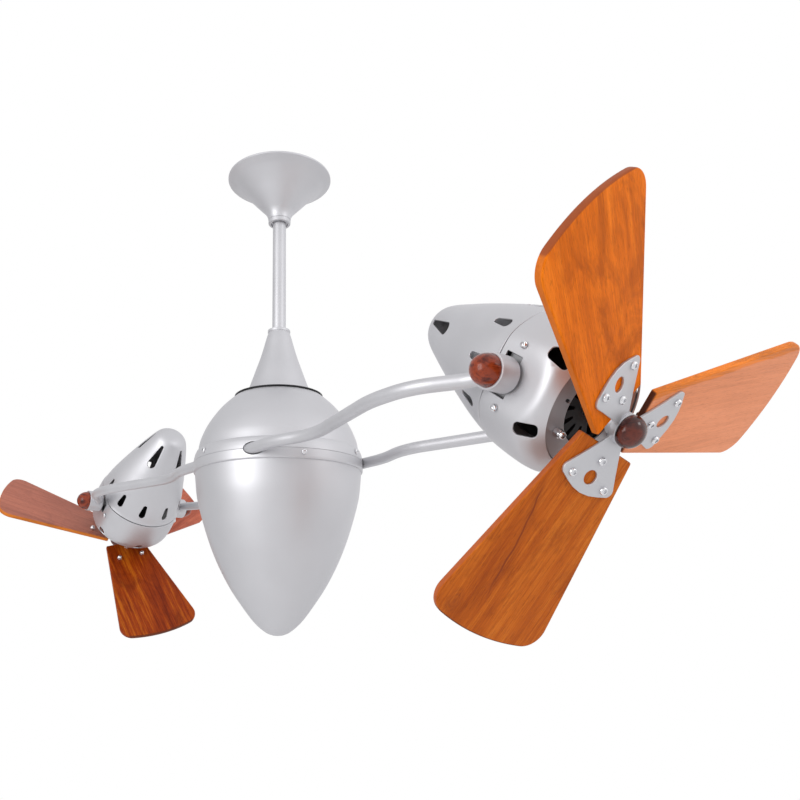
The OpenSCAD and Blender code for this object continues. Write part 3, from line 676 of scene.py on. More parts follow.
def blade_wood(name, dark, mid, light, seed, mottle=0.5, rough=0.40, end=None, vein=None, knot=None, spec=0.3, edge=None, edge_strip=None, porous=0.38):
    """Satin hardwood; grain runs along the piece's own X. vein: (y at the root, slope, from x, to x), knot: (x, y)."""
    t = Tree(name)
    off = (seed * 0.37, seed * 0.53, seed * 0.11)
    slow = t.noise(t.mapping((5.0, 46.0, 46.0), off), 1.0, 3.0, 0.55, 0.5)
    streak = t.noise(t.mapping((7.0, 190.0, 190.0), off), 1.0, 3.0, 0.6, 0.25)
    fine = t.noise(t.mapping((34.0, 900.0, 900.0), off), 1.0, 2.0, 0.55)
    patch = t.noise(t.mapping((15.0, 30.0, 30.0), (off[1], off[2], off[0])), 1.0, 4.0, 0.62, 1.1)
    fac = t.math("ADD", t.math("MULTIPLY", slow, 0.40),
                 t.math("ADD", t.math("MULTIPLY", streak, 0.34), t.math("MULTIPLY", fine, 0.26)))
    col = t.ramp(fac, [(0.37, dark), (0.50, mid), (0.63, light)])
    brown = tuple(c * k for c, k in zip(dark, (0.62, 0.58, 0.60)))
    col = t.mix(t.range_(patch, 0.0, mottle, 0.50, 0.68), col, brown)
    pores = t.noise(t.mapping((130.0, 1250.0, 1250.0), off), 1.0, 2.0, 0.6)
    pore = t.range_(pores, 0.0, 1.0, 0.54, 0.68)
    col = t.mix(t.math("MULTIPLY", pore, porous), col, tuple(c * 0.42 for c in dark))
    xyz = t.t.nodes.new("ShaderNodeSeparateXYZ")
    t.link(t.co, xyz.inputs[0])
    X, Y, Z = xyz.outputs[0], xyz.outputs[1], xyz.outputs[2]
    if edge:
        # the flat faces carry a painted sheen, a pinkish haze in their colours; the long edges get the plain saturated
        # colour without it
        side = t.math("MULTIPLY", t.range_(Z, 1.0, 0.0, -0.0013, -0.0004), t.range_(Z, 0.0, 1.0, -0.0064, -0.0056))
        col = t.mix(side, col, t.ramp(fac, [(0.37, tuple(c * 0.72 for c in edge)), (0.63, tuple(c * 1.12 for c in edge))]))
    if edge_strip:
        # a strip of the saturated edge colour along the edge on the +Y side of the face, left without the face's
        # painted sheen
        wav = t.noise(t.mapping((22.0, 60.0, 60.0), off), 1.0, 3.0, 0.6)
        gap = t.math("SUBTRACT", t.math("MULTIPLY_ADD", X, 0.1921, 0.02881), Y)
        gap = t.math("ADD", gap, t.math("MULTIPLY", t.math("SUBTRACT", wav, 0.5), 0.012))
        gap = t.math("SUBTRACT", gap, t.math("MULTIPLY", X, 0.018))
        col = t.mix(t.range_(gap, 1.0, 0.0, edge_strip - 0.0012, edge_strip + 0.0012), col,
                    t.ramp(fac, [(0.37, tuple(c * 0.55 for c in edge)), (0.55, edge), (0.66, tuple(c * 1.1 for c in edge))]))
    col = t.mix(t.range_(X, 1.0, 0.0, 0.0205, 0.0212), col, ENDG)
    if end:
        # end grain drinks more varnish, so the tip's edge is darker
        rr = t.math("SQRT", t.math("ADD", t.math("MULTIPLY", X, X), t.math("MULTIPLY", Y, Y)))
        col = t.mix(t.range_(rr, 0.0, 0.8, TIP_R * MM - 0.0016, TIP_R * MM - 0.0008), col, end)
    if vein:
        y0, slope, xa, xb = vein
        wig = t.noise(t.mapping((26.0, 0.0, 0.0), off), 1.0, 2.0, 0.5)
        v = t.math("SUBTRACT", Y, t.math("ADD", t.math("MULTIPLY_ADD", X, slope, y0),
                                         t.math("MULTIPLY", t.math("SUBTRACT", wig, 0.5), 0.011)))
        thin = t.range_(t.math("ABSOLUTE", v), 0.85, 0.0, 0.0005, 0.0015)
        wide = t.range_(t.math("ABSOLUTE", v), 0.28, 0.0, 0.0005, 0.007)
        span = t.math("MULTIPLY", t.range_(X, 0.0, 1.0, xa - 0.01, xa + 0.01), t.range_(X, 1.0, 0.0, xb - 0.02, xb + 0.01))
        col = t.mix(t.math("MULTIPLY", t.math("MAXIMUM", thin, wide), span), col,
                    (0.20, 0.034, 0.007))
    if knot:
        kx, ky, kr = knot
        dx = t.math("SUBTRACT", X, kx)
        dy = t.math("MULTIPLY", t.math("SUBTRACT", Y, ky), 1.9)
        dd = t.math("SQRT", t.math("ADD", t.math("MULTIPLY", dx, dx), t.math("MULTIPLY", dy, dy)))
        dd = t.math("ADD", dd, t.math("MULTIPLY", t.math("SUBTRACT", t.noise(t.mapping((70, 70, 70), off), 1.0, 2.0), 0.5), 0.012))
        ring = t.ramp(t.range_(dd, 0.0, 1.0, 0.0, kr), [(0.0, (0.85, 0.85, 0.85)), (0.30, (0.25, 0.25, 0.25)),
                                                         (0.42, (0.70, 0.70, 0.70)), (0.58, (0.15, 0.15, 0.15)),
                                                         (0.72, (0.42, 0.42, 0.42)), (1.0, (0.0, 0.0, 0.0))])
        col = t.mix(t.math("MULTIPLY", ring, 0.6), col, (0.20, 0.038, 0.010))
    t.link(col, t.b.inputs["Base Color"])
    t.link(t.range_(t.math("ADD", t.math("MULTIPLY", pore, 0.5), t.math("MULTIPLY", fine, 0.5)),
                    rough - 0.06, rough + 0.10, 0.1, 0.8), t.b.inputs["Roughness"])
    t.set(Specular_IOR_Level=spec)
    t.bump(t.math("ADD", t.math("MULTIPLY", pore, -0.7), t.math("MULTIPLY", fine, 0.3)), 0.22, 0.0003)
    return t.m


def burl(name, dark, mid, light, seed, scale=60.0, rough=0.2, coat=0.18):
    t = Tree(name)
    off = (seed * 0.31, seed * 0.17, seed * 0.7)
    a = t.noise(t.mapping((1, 1, 1.6), off), scale, 4.0, 0.6, 1.6)
    b = t.noise(t.mapping((1, 1, 1), off), scale * 4.5, 3.0, 0.6, 0.6)
    fac = t.math("ADD", t.math("MULTIPLY", a, 0.74), t.math("MULTIPLY", b, 0.26))
    t.link(t.ramp(fac, [(0.36, dark), (0.44, mid), (0.53, light), (0.60, mid), (0.68, dark)]),
           t.b.inputs["Base Color"])
    t.link(t.range_(b, rough - 0.04, rough + 0.08, 0.3, 0.7), t.b.inputs["Roughness"])
    t.set(Coat_Weight=coat, Coat_Roughness=0.12, Specular_IOR_Level=0.28)
    t.bump(b, 0.05, 0.0002)
    return t.m


NICKEL = satin_metal("satin_nickel", (0.600, 0.598, 0.620), 0.80, 0.49)
# a darker copy of the satin nickel: painted shade for inside faces
NICKEL_IN_PAINTED_SHADE = satin_metal("satin_nickel_inside_painted_shade", (0.30, 0.30, 0.31), 0.6, 0.5)
ZINC = plated("zinc_plate", (0.66, 0.67, 0.70), 0.32)
# a darker copy of the satin nickel: painted shade for the ring plate recessed inside the nose rim
NICKEL_RING_PAINTED_SHADE = satin_metal("satin_nickel_ring_painted_shade", (0.40, 0.395, 0.41), 0.80, 0.49)
# a darker copy of the plated zinc: painted shade for the inside of the head seen through its slots
ZINC_PAINTED_SHADE = plated("zinc_painted_shade", (0.42, 0.42, 0.43), 0.42)
BRIGHT = plated("bright_steel", (0.80, 0.80, 0.82), 0.20, scale=1400.0, bump=0.03)
BEARING = plated("ground_steel", (0.52, 0.53, 0.55), 0.28)
BLACK = dark_plastic("black_enamel", (0.010, 0.0095, 0.011), 0.42, bump=0.08, spec=0.22)
BLACK_PL = dark_plastic("black_moulding", (0.012, 0.012, 0.014), 0.5, spec=0.2)
FIBRE = dark_plastic("fibre_washer", (0.30, 0.23, 0.14), 0.7, bump=0.3)
WOODS = {
    # a_blade_1 and b_blade_1 have a painted sheen, a pinkish haze, in their face colours; their edge colours are the
    # saturated orange without it
    "a_blade_1": blade_wood("wood_a1", (0.67, 0.215, 0.080), (0.78, 0.260, 0.104), (0.86, 0.300, 0.130), 7.0, 0.06,
                            0.44, end=(0.70, 0.20, 0.050), spec=0.3, edge=(0.86, 0.215, 0.006), edge_strip=0.0052,
                            porous=0.2),
    "a_blade_2": blade_wood("wood_a2", (0.55, 0.105, 0.002), (0.74, 0.155, 0.003), (0.90, 0.215, 0.010), 1.0, 0.62,
                            0.38, end=(0.26, 0.065, 0.030), spec=0.04, edge=(0.60, 0.15, 0.020)),
    "a_blade_3": blade_wood("wood_a3", (0.35, 0.064, 0.004), (0.48, 0.104, 0.006), (0.62, 0.165, 0.014), 13.0, 0.45,
                            0.42, end=ENDG, vein=(-0.046, 0.16, 0.075, 0.180), knot=(0.195, -0.045, 0.016), spec=0.12,
                            edge=(0.46, 0.11, 0.030)),
    "b_blade_1": blade_wood("wood_b1", (0.30, 0.085, 0.050), (0.41, 0.122, 0.074), (0.50, 0.160, 0.095), 19.0, 0.25,
                            0.46, end=(0.40, 0.11, 0.03), spec=0.3, edge=(0.62, 0.17, 0.010)),
    "b_blade_2": blade_wood("wood_b2", (0.32, 0.060, 0.030), (0.44, 0.100, 0.055), (0.55, 0.15, 0.08), 37.0, 0.3,
                            end=ENDG, spec=0.2),
    "b_blade_3": blade_wood("wood_b3", (0.14, 0.013, 0.002), (0.30, 0.042, 0.003), (0.54, 0.135, 0.008), 29.0, 0.5,
                            0.36, end=ENDG, spec=0.12),
}
BURL_CAP = burl("burl_cap", (0.008, 0.002, 0.002), (0.11, 0.014, 0.006), (0.27, 0.042, 0.012), 3.0, 30.0)
HUB_WOOD = burl("hub_rosewood", (0.014, 0.0026, 0.002), (0.052, 0.008, 0.005), (0.120, 0.020, 0.010), 8.0, 24.0, 0.20, 0.30)

# ---------------------------------------------------------------- frames (mm)


def T(x, y, z):
    return Matrix.Translation((x, y, z))


def R(deg, axis):
    return Matrix.Rotation(rad(deg), 4, axis)


HEAD = {h: R(180 if h == "b" else 0, "Z") @ T(REACH, 0, ZS) @ R(90 + TILT, "Y") for h in "ab"}
SPIN = {h: HEAD[h] @ R(TURN[h], "Z") for h in "ab"}


def blade_frame(h, k):
    return SPIN[h] @ R(120 * k, "Z") @ T(0, 0, BLADE_Z) @ R(PITCH, "X")


# ---------------------------------------------------------------- small parts


def screw_bm(bm, m, r, h, hexr, shank_r=0.0, shank_l=0.0, n=36):
    """Domed socket head on its seat, with a rounded rim and a hex recess."""
    def ring(rr, z, hexa=0.0):
        vs = []
        for k in range(n):
            a = 2 * math.pi * k / n
            hx = hexr * math.cos(math.pi / 6) / math.cos(((a + math.pi / 6) % (math.pi / 3)) - math.pi / 6)
            q = rr * (1 - hexa) + hx * hexa
            vs.append(bm.verts.new(m @ Vector((q * math.cos(a), q * math.sin(a), z))))
        return vs
    rows = []
    if shank_l > 0:
        rows += [ring(shank_r, -shank_l), ring(shank_r, 0.0)]
    else:
        rows += [ring(r * 0.6, 0.0)]
    rows += [ring(r - 0.25, 0.0), ring(r - 0.06, 0.10), ring(r, 0.3)]
    for k in range(1, 8):
        a = k / 8
        rr = r - (r - hexr * 1.25) * (1 - math.cos(a * math.pi / 2)) ** 0.9
        rows.append(ring(max(rr, hexr * 1.25), 0.3 + (h - 0.3) * math.sin(a * math.pi / 2)))
    rows += [ring(hexr * 1.18, h, 0.0), ring(hexr, h - 0.02, 0.75), ring(hexr, h - 0.14, 1.0),
             ring(hexr, h * 0.42, 1.0), ring(hexr * 0.5, h * 0.36, 0.0)]
    for a, b in zip(rows, rows[1:]):
        for k in range(n):
            k2 = (k + 1) % n
            bm.faces.new((a[k], a[k2], b[k2], b[k]))
    bm.faces.new(rows[0][::-1])
    bm.faces.new(rows[-1])


def prism_bm(bm, m, r, z0, z1, sides=6, ch=0.4, hole=0.0):
    """Hex bar with its corners turned off at both ends."""
    n = 48

    def ring(k0, z):
        vs = []
        for k in range(n):
            a = 2 * math.pi * k / n
            w = math.pi / sides
            hx = r * math.cos(w) / math.cos(((a + w) % (2 * w)) - w)
            vs.append(bm.verts.new(m @ Vector((min(hx, k0) * math.cos(a), min(hx, k0) * math.sin(a), z))))
        return vs
    flat = r * math.cos(math.pi / sides)
    rows = [ring(flat - 0.25, z0), ring(flat, z0 + 0.05), ring(r + 1, z0 + ch + 0.1), ring(r + 1, z1 - ch - 0.1),
            ring(flat, z1 - 0.05), ring(flat - 0.25, z1)]
    for a, b in zip(rows, rows[1:]):
        for k in range(n):
            bm.faces.new((a[k], a[(k + 1) % n], b[(k + 1) % n], b[k]))
    bm.faces.new(rows[0][::-1])
    bm.faces.new(rows[-1])


# ---------------------------------------------------------------- ceiling mount
def rounded(profile_pts, radii, n=144, **kw):
    return lathe_bm(fillet(profile_pts, radii, closed=True, **kw), n)


can = catmull([(16.2, -67), (17.4, -61), (21.2, -54), (28.8, -45.5), (37.3, -36), (46, -26.3), (55, -17.5), (64.5, -9.3),
               (75.5, -2.6)], 14)


def beside(p, t):
    out = []
    for i in range(len(p)):
        a, b = p[max(i - 1, 0)], p[min(i + 1, len(p) - 1)]
        u = Vector((b[0] - a[0], b[1] - a[1])).normalized()
        out.append((p[i][0] - t * u.y, p[i][1] + t * u.x))
    return out


can_in = [(max(r, 13.0), min(z, -0.9)) for r, z in reversed(beside(can, 1.5))]
rim = [(75.44, -2.2), (75.5, -1.7), (75.5, -1.2), (75.5, -0.45), (75.42, -0.12), (75.2, 0.0), (73.9, 0.0), (73.7, -0.2)]
canopy = new_object("canopy_shell", lathe_bm([(13.0, -67.0), (13.5, -67.06), (15.6, -67.06)] + can + rim + [q for q in can_in if q[0] < 73.1 and q[1] > -66.4], 192), NICKEL)
place(canopy, "ceiling_mount", "canopy", slot="nickel")

bm = rounded([(ROD_R + 0.03, -71.0), (12.4, -71.0), (12.4, -73.2), (15.2, -73.2), (16, -72.3), (16.2, -67.12),
              (ROD_R + 0.03, -67.12)], [0.2, 0.3, 0.4, 0.5, 0.5, 0.4, 0.2], 96, seg=4, sup=0.2)
collar = new_object("rod_collar", bm, NICKEL)
place(collar, "ceiling_mount", "canopy_collar", slot="nickel")

bm = lathe_bm([(ROD_R - 2.2, ZS + 128), (ROD_R, ZS + 128)] + [(ROD_R, z) for z in np.linspace(ZS + 140, -16, 24)]
              + [(ROD_R, -14), (ROD_R - 2.2, -14)], 96)
rod = new_object("down_tube", bm, NICKEL)
place(rod, "ceiling_mount", "downrod", slot="nickel")

cov = catmull([(44, 0), (41.9, 5.5), (39.7, 11.5), (36.2, 21.5), (31.2, 36), (26.2, 50.5), (21.8, 65.3), (17.9, 80),
               (15, 89.5)], 10)
cov_in = [q for q in reversed(beside(cov, 1.6)) if 0.4 < q[1] < 88.8]
top = fillet([(15, 89.5), (15.0, 90.1), (15.7, 90.3), (15.7, 93.8), (ROD_R + 0.05, 93.8), (ROD_R + 0.05, 90.5)],
             [0, 0.15, 0.2, 0.7, 0.15, 0], seg=4, sup=0.1)
lip = [(42.5, 0.15), (42.8, -0.1), (43.6, -0.1), (43.95, 0.05)]
bm = lathe_bm(lip + cov + top[1:] + cov_in, 160, matrix=T(0, 0, ZS + 97.5))
cover = new_object("rod_cover", bm, NICKEL)
place(cover, "ceiling_mount", "coupling_cover", slot="nickel")

# ---------------------------------------------------------------- turning body
up_run = fillet([(RB, 0.12), (RB - 0.6, 5), (RB - 1.7, 10), (RB - 3.4, 14.2), (RB - 4.2, 15.0), (RB - 5.4, 15.3)],
                [0, 6, 6, 1.0, 0.5, 0], seg=6, sup=0.2)
up_run = up_run + catmull([(RB - 5.6, 16.2), (RB - 6.2, 20), (104, 30), (97.5, 46), (88.8, 60.5), (78.5, 74), (68, 84.5),
                           (60.5, 91)], 10) + [(59.5, 91.8), (58.9, 92.1)]
low_run = fillet([(RB, -0.12), (RB - 0.1, -6), (RB - 0.4, -11.6), (RB - 1.0, -12.5), (RB - 2.6, -12.9)],
                 [0, 6, 0.8, 0.4, 0], seg=6, sup=0.2)
low_run = low_run + catmull([(RB - 2.7, -13.6), (RB - 3.5, -24), (105, -50), (93.2, -90), (79.5, -125), (62, -158),
                             (44, -184), (29.5, -202), (16.5, -213), (7, -217.2), (0, -218)], 10)


def arm_notches(skin, updown):
    """The round arm holes' halves, as lines that cut the seam edge."""
    out = []
    rr = 8.3 + skin.g
    z0 = abs(skin.at(np.array([skin.g]))[1][0])
    for sx in (1, -1):
        for sy in (1, -1):
            line = []
            a0 = math.asin(min(z0 / rr, 1))
            for k in range(21):
                a = a0 + (math.pi - 2 * a0) * k / 20
                zz = rr * math.sin(a) * updown
                yy = sy * 86 + rr * math.cos(a)
                q = skin.q_of_z(zz) if 0 < k < 20 else skin.g
                r = float(skin.at(np.array([q]))[0][0])
                xx = sx * math.sqrt(max(r * r - yy * yy, 1))
                line.append((skin.r0 * math.atan2(yy, xx), q))
            out.append(line)
    return out


upper = Skin(up_run, 100.0, WALL, even=5.0)
ob = new_object("body_upper", upper.build([], 176, 4.0, notches=arm_notches(upper, 1)), NICKEL, T(0, 0, ZS))
place(ob, "turning_body", "upper_shell", slot="nickel")
lower = Skin(low_run, 100.0, WALL, even=5.0)
ob = new_object("body_lower", lower.build([], 176, 4.5, pole=True, notches=arm_notches(lower, -1)), NICKEL, T(0, 0, ZS))
place(ob, "turning_body", "lower_shell", slot="nickel")

bm = bmesh.new()
for a in (-92, 28, 148):
    screw_bm(bm, T(0, 0, ZS) @ R(a, "Z") @ T(RB - 0.75, 0, 7.3) @ R(83, "Y"), 3.6, 2.2, 1.75, 1.75, 9)
for a in (-19, 101, 221):
    screw_bm(bm, T(0, 0, ZS) @ R(a, "Z") @ T(RB - 0.05, 0, -5) @ R(90, "Y"), 3.6, 2.2, 1.75, 1.75, 9)
ob = new_object("seam_screws", bm, BRIGHT)
place(ob, "turning_body", "body_screws", slot="bright_screw")

# fork tubes along the CAD's own centre line
X_END = REACH - CUP_R - 0.05
side_run = [(46, 86), (114, 86), (168, 68.5), (306, 108), (360, 108), (X_END - 8, 77.6), (X_END + 10, 77.6)]
bends = [0, 120, 100, 150, 85, 50, 0]


def arc_path(pts, radii, step=rad(1.0)):
    """Points and tangents along a line with arc corners."""
    out = [Vector(pts[0])]
    for i in range(1, len(pts) - 1):
        v, a, b = Vector(pts[i]), Vector(pts[i - 1]), Vector(pts[i + 1])
        d1, d2 = (v - a).normalized(), (b - v).normalized()
        turn = d1.x * d2.y - d1.y * d2.x
        ang = math.atan2(turn, d1.dot(d2))
        r = radii[i]
        cut = r * math.tan(abs(ang) / 2)
        s = v - d1 * cut
        k = 1 if ang > 0 else -1
        c = s + Vector((-d1.y, d1.x)) * r * k
        n = max(2, int(abs(ang) / step))
        for j in range(n + 1):
            w = Matrix.Rotation(ang * j / n, 2)
            out.append(c + w @ (s - c))
    out.append(Vector(pts[-1]))
    return out


half = [p for p in arc_path(side_run, bends) if p.x < X_END - 0.3]
half.append(Vector((X_END, half[-1].y + (half[-1].y - half[-2].y) / (half[-1].x - half[-2].x) * (X_END - half[-1].x))))
line = [Vector((-p.x, p.y)) for p in reversed(half)] + [Vector((0, 86))] + half


def tube_bm(path, r, n=48, cup=None, sy=1):
    bm = bmesh.new()
    rings = []
    for i, p in enumerate(path):
        a, b = path[max(i - 1, 0)], path[min(i + 1, len(path) - 1)]
        t = (b - a).normalized()
        nrm = Vector((-t.y, t.x))
        ring = []
        for k in range(n):
            ph = 2 * math.pi * k / n
            off, z = r * math.cos(ph), r * math.sin(ph)
            x, y = p.x + nrm.x * off, p.y + nrm.y * off
            if i in (0, len(path) - 1):
                s = 1 if p.x > 0 else -1
                x = s * (REACH - math.sqrt(CUP_R ** 2 - z * z) + 0.5)
            ring.append(bm.verts.new((x, sy * y, z)))
        rings.append(ring)
    for a, b in zip(rings, rings[1:]):
        for k in range(n):
            bm.faces.new((a[k], a[(k + 1) % n], b[(k + 1) % n], b[k]))
    bm.faces.new(rings[0][::-1])
    bm.faces.new(rings[-1])
    return bm


def weld_bm(bm, sy, r=0.95, n=72, m=10):
    """Small fillet bead where a fork tube meets its cup."""
    for s in (-1, 1):
        rings = []
        for k in range(n):
            ph = 2 * math.pi * k / n
            z, y = (ARM_R + 0.15) * math.sin(ph), half[-1].y + (ARM_R + 0.15) * math.cos(ph)
            x = REACH - math.sqrt(CUP_R ** 2 - z * z) - 0.1
            c = Vector((x, y, z))
            # bead's cross-section lies in the plane of the tube's radius and its length
            e1 = Vector((-1, 0, 0))
            e2 = Vector((0, math.cos(ph), math.sin(ph)))
            wob = 1 + 0.06 * math.sin(17 * ph) + 0.05 * math.sin(29 * ph + 1)
            ring = []
            for j in range(m):
                a = 2 * math.pi * j / m
                v = c + (e1 * math.cos(a) + e2 * math.sin(a)) * r * wob
                ring.append(bm.verts.new((s * v.x, sy * v.y, v.z)))
            rings.append(ring)
        for i in range(n):
            a, b = rings[i], rings[(i + 1) % n]
            for j in range(m):
                bm.faces.new((a[j], a[(j + 1) % m], b[(j + 1) % m], b[j]))
    return bm


for nm, sy in (("front", -1), ("rear", 1)):
    ob = new_object(f"fork_tube_{nm}", tube_bm(line, ARM_R, sy=sy), NICKEL, T(0, 0, ZS))
    place(ob, "turning_body", f"arm_tube_{nm}", slot="nickel")
    ob = new_object(f"fork_welds_{nm}", weld_bm(bmesh.new(), sy), NICKEL, T(0, 0, ZS), angle=60)
    place(ob, "turning_body", slot="nickel")

# cups and their turned caps
bm = bmesh.new()
caps = bmesh.new()
for sx in (1, -1):
    for sy in (1, -1):
        m = T(sx * REACH, 0, ZS) @ (R(-90, "X") if sy > 0 else R(90, "X"))
        prof = fillet([(5.05, CUP_IN), (CUP_R, CUP_IN), (CUP_R, CUP_RIM), (CUP_R - 2, CUP_RIM), (CUP_R - 2, CUP_IN + 5),
                       (5.05, CUP_IN + 5)], [0.3, 0.9, 0.55, 0.35, 0.5, 0.3], closed=True, seg=5, sup=0.3)
        lathe_bm(prof, 128, bm=bm, matrix=m)
        dome = [((CUP_R - 2.05), CUP_RIM - 8), (CUP_R - 2.05, CUP_RIM - 0.6)]
        dome += [((CUP_R - 2.05) * math.cos(rad(a)) ** 0.92, CUP_RIM + 0.4 + 16.2 * math.sin(rad(a))) for a in range(0, 90, 3)]
        dome += [(0.0, CUP_RIM + 16.6)]
        lathe_bm([(0.0, CUP_RIM - 8)] + dome, 96, closed=False, bm=caps, matrix=m)
ob = new_object("pivot_cup_shells", bm, NICKEL)
place(ob, "turning_body", "pivot_cups", slot="nickel")
ob = new_object("pivot_cap_domes", caps, BURL_CAP)
place(ob, "turning_body", "pivot_caps", slot="cap_wood")

# ---------------------------------------------------------------- heads
tail_run = catmull([(0, -166.5), (11, -165.4), (20.5, -161), (27.5, -152), (36.5, -130), (46, -104), (54.6, -78), (62, -54),
                    (66.9, -35), (68.4, -26.5), (69.2, -22.3), (70.4, SEAM_S)], 12)[::-1]
nose_run = catmull([(70.9, SEAM_S + 1.3), (71.7, -8), (72.3, 6), (72.3, 20), (70.6, 31), (65.6, 39.6), (59.8, 45.4),
                    (55.4, 49.2)], 12)
tail = Skin(tail_run, 60.0, HEAD_WALL, flat=FLAT, soft=5.0, even=3.0)
nose = Skin(nose_run, 60.0, HEAD_WALL, flat=FLAT, soft=5.0, even=3.0)
row1 = drop_shape(-7.4, 3.2, 7.4, 5.2)     # blunt end towards the nose
drop = drop_shape(-16.6, 2.5, 16.6, 7.0)


def flip_run(shape):
    return [(-a, b) for a, b in reversed(shape)]


def wrap(th):
    return (th + 180) % 360 - 180


def seam_safe(polys, W):
    """Gives the shapes back unchanged."""
    return polys


tail_cuts = []
for k in range(10):
    # angles a quarter step off the joining line, so no shape crosses it
    th = wrap(90 + 36 * k)
    tail_cuts.append(tail.shape(flip_run(row1), th, tail.q_of_z(-42.8)))
for k in range(5):
    th = wrap(90 + 172 + 72 * k)
    tail_cuts.append(tail.shape(flip_run(drop), th, tail.q_of_z(-134.25)))
nose_cuts = []
for k in range(6):
    nose_cuts.append(nose.shape(rrect2(22, 13.5, 5, 8), wrap(120 + 60 * k), nose.q_of_z(36.8)))
for s in (90, -90):
    q0, q1 = nose.q_of_z(-12), nose.q_of_z(7)
    nose_cuts.append(nose.shape(rrect2(q1 - q0, 40, 0.8, 3), s, (q0 + q1) / 2))
print("openings", [(round(min(p for p, q in c), 1), round(max(p for p, q in c), 1)) for c in tail_cuts])
for h in "ab":
    body = "head_" + h
    ob = new_object(f"head_tail_{h}", tail.build(tail_cuts, 150, 3.0, pole=True), NICKEL, HEAD[h])
    place(ob, body, f"{h}_rear_shell", slot="nickel")
    ob = new_object(f"head_nose_{h}", nose.build(nose_cuts, 150, 3.0), NICKEL, HEAD[h])
    place(ob, body, f"{h}_front_shell", slot="nickel")
    # ring plate
    ring_out = circle2(0, 0, 53.6, 120)
    holes = [circle2(0, 0, 33, 90)]
    for k in range(3):
        a = rad(-53.5 + 120 * k)
        holes.append(circle2(42.5 * math.cos(a), 42.5 * math.sin(a), 2.1, 20))
        a = rad(-94 + 120 * k)
        cs, sn = math.cos(a), math.sin(a)
        holes.append([(37.5 * cs + x * cs - y * sn, 37.5 * sn + x * sn + y * cs) for x, y in drop_shape(-1.6, 1.5, 1.6, 1.5001, 8)])
    bm = plate_bm(ring_out, holes, 47.2, 1.6, edge_rings(1.6, 0.3, 0.2, 2))
    # the ring plate wears the darker nickel copy, painted shade
    ob = new_object(f"head_ring_{h}", bm, NICKEL_RING_PAINTED_SHADE, HEAD[h])
    place(ob, body, f"{h}_ring_plate", slot="nickel")
    bm = bmesh.new()
    for k in range(3):
        m = R(-53.5 + 120 * k, "Z") @ T(42.5, 0, 0)
        lathe_bm([(0, 39.85), (3.4, 39.85), (3.4, 45.5), (0, 45.5)], 32, closed=False, bm=bm, matrix=m)
        prism_bm(bm, m, 4.4, 47.25, 54.15)
        screw_bm(bm, m @ T(0, 0, 54.2), 3.6, 3.0, 1.75)
    ob = new_object(f"head_standoffs_{h}", bm, BRIGHT, HEAD[h])
    place(ob, body, f"{h}_standoff_screws", slot="bright_screw")
    bm = bmesh.new()
    for sy in (1, -1):
        for x in (-30, 30):
            screw_bm(bm, T(x, sy * (FLAT + 0.02), 2) @ (R(-90, "X") if sy > 0 else R(90, "X")), 3.6, 2.6, 1.8, 1.8, 10)
    ob = new_object(f"head_side_screws_{h}", bm, BRIGHT, HEAD[h])
    place(ob, body, f"{h}_shell_screws", slot="bright_screw")

# ---------------------------------------------------------------- rotors
lobe = [(4, -7.5), (16, -8.5), (30, -17), (46, -27.5), (52, -30), (57.5, -25.5), (62, -15), (64, 0), (62, 15), (57.5, 25.5),
        (52, 30), (46, 27.5), (30, 17), (16, 8.5), (4, 7.5)]
HOLES = [(32.6, 0), (52.8, 20.5), (52.8, -20.5)]


def lobe_outline():
    pts = [(4, -7.6), (12.5, -8.6), (24, -15.2), (38, -23.8)]
    for k in range(13):                     # lower ear
        a = rad(-118 + (k / 12) * 108)
        pts.append((51.5 + 6.2 * math.cos(a), -25.2 + 6.2 * math.sin(a)))
    pts += [(60.6, -19), (63.4, -10), (64.6, 0), (63.4, 10), (60.6, 19)]
    for k in range(13):
        a = rad(10 + (k / 12) * 108)
        pts.append((51.5 + 6.2 * math.cos(a), 25.2 + 6.2 * math.sin(a)))
    pts += [(38, 23.8), (24, 15.2), (12.5, 8.6), (4, 7.6)]
    return pts


def blade_outline():
    """Straight sides out to the tip circle, with rounded corners."""
    turn = math.atan2((TIP_W - ROOT_W) / 2, math.sqrt(TIP_R ** 2 - TIP_W ** 2 / 4) - BLADE_X0)
    off = math.cos(turn) * ROOT_W / 2 - math.sin(turn) * BLADE_X0 - TIP_ROUND
    run = math.sqrt((TIP_R - TIP_ROUND) ** 2 - off ** 2)
    c = Vector((run * math.cos(turn) - off * math.sin(turn), run * math.sin(turn) + off * math.cos(turn)))
    ac = math.atan2(c.y, c.x)
    side = [(BLADE_X0, ROOT_W / 2)]
    for j in range(15):
        a = math.pi / 2 + turn + j / 14 * (ac - math.pi / 2 - turn)
        side.append((c.x + TIP_ROUND * math.cos(a), c.y + TIP_ROUND * math.sin(a)))
    side += [(TIP_R * math.cos(ac * (1 - j / 14)), TIP_R * math.sin(ac * (1 - j / 14))) for j in range(1, 15)]
    pts = side + [(x, -y) for x, y in reversed(side[:-1])]
    pts = pts[::-1]
    radii = [2.0] + [0] * (len(pts) - 2) + [2.0]
    return fillet(pts, radii, seg=5, closed=True, sup=0.0)


def dense(poly, step):
    out = []
    n = len(poly)
    for i in range(n):
        a, b = Vector(poly[i]), Vector(poly[(i + 1) % n])
        k = max(1, int((b - a).length / step))
        for j in range(k):
            out.append(tuple(a + (b - a) * j / k))
    return out


def clean(poly, tol=0.05):
    out = []
    for q in poly:
        if not out or (Vector(q) - Vector(out[-1])).length > tol:
            out.append(q)
    if (Vector(out[0]) - Vector(out[-1])).length <= tol:
        out.pop()
    return out


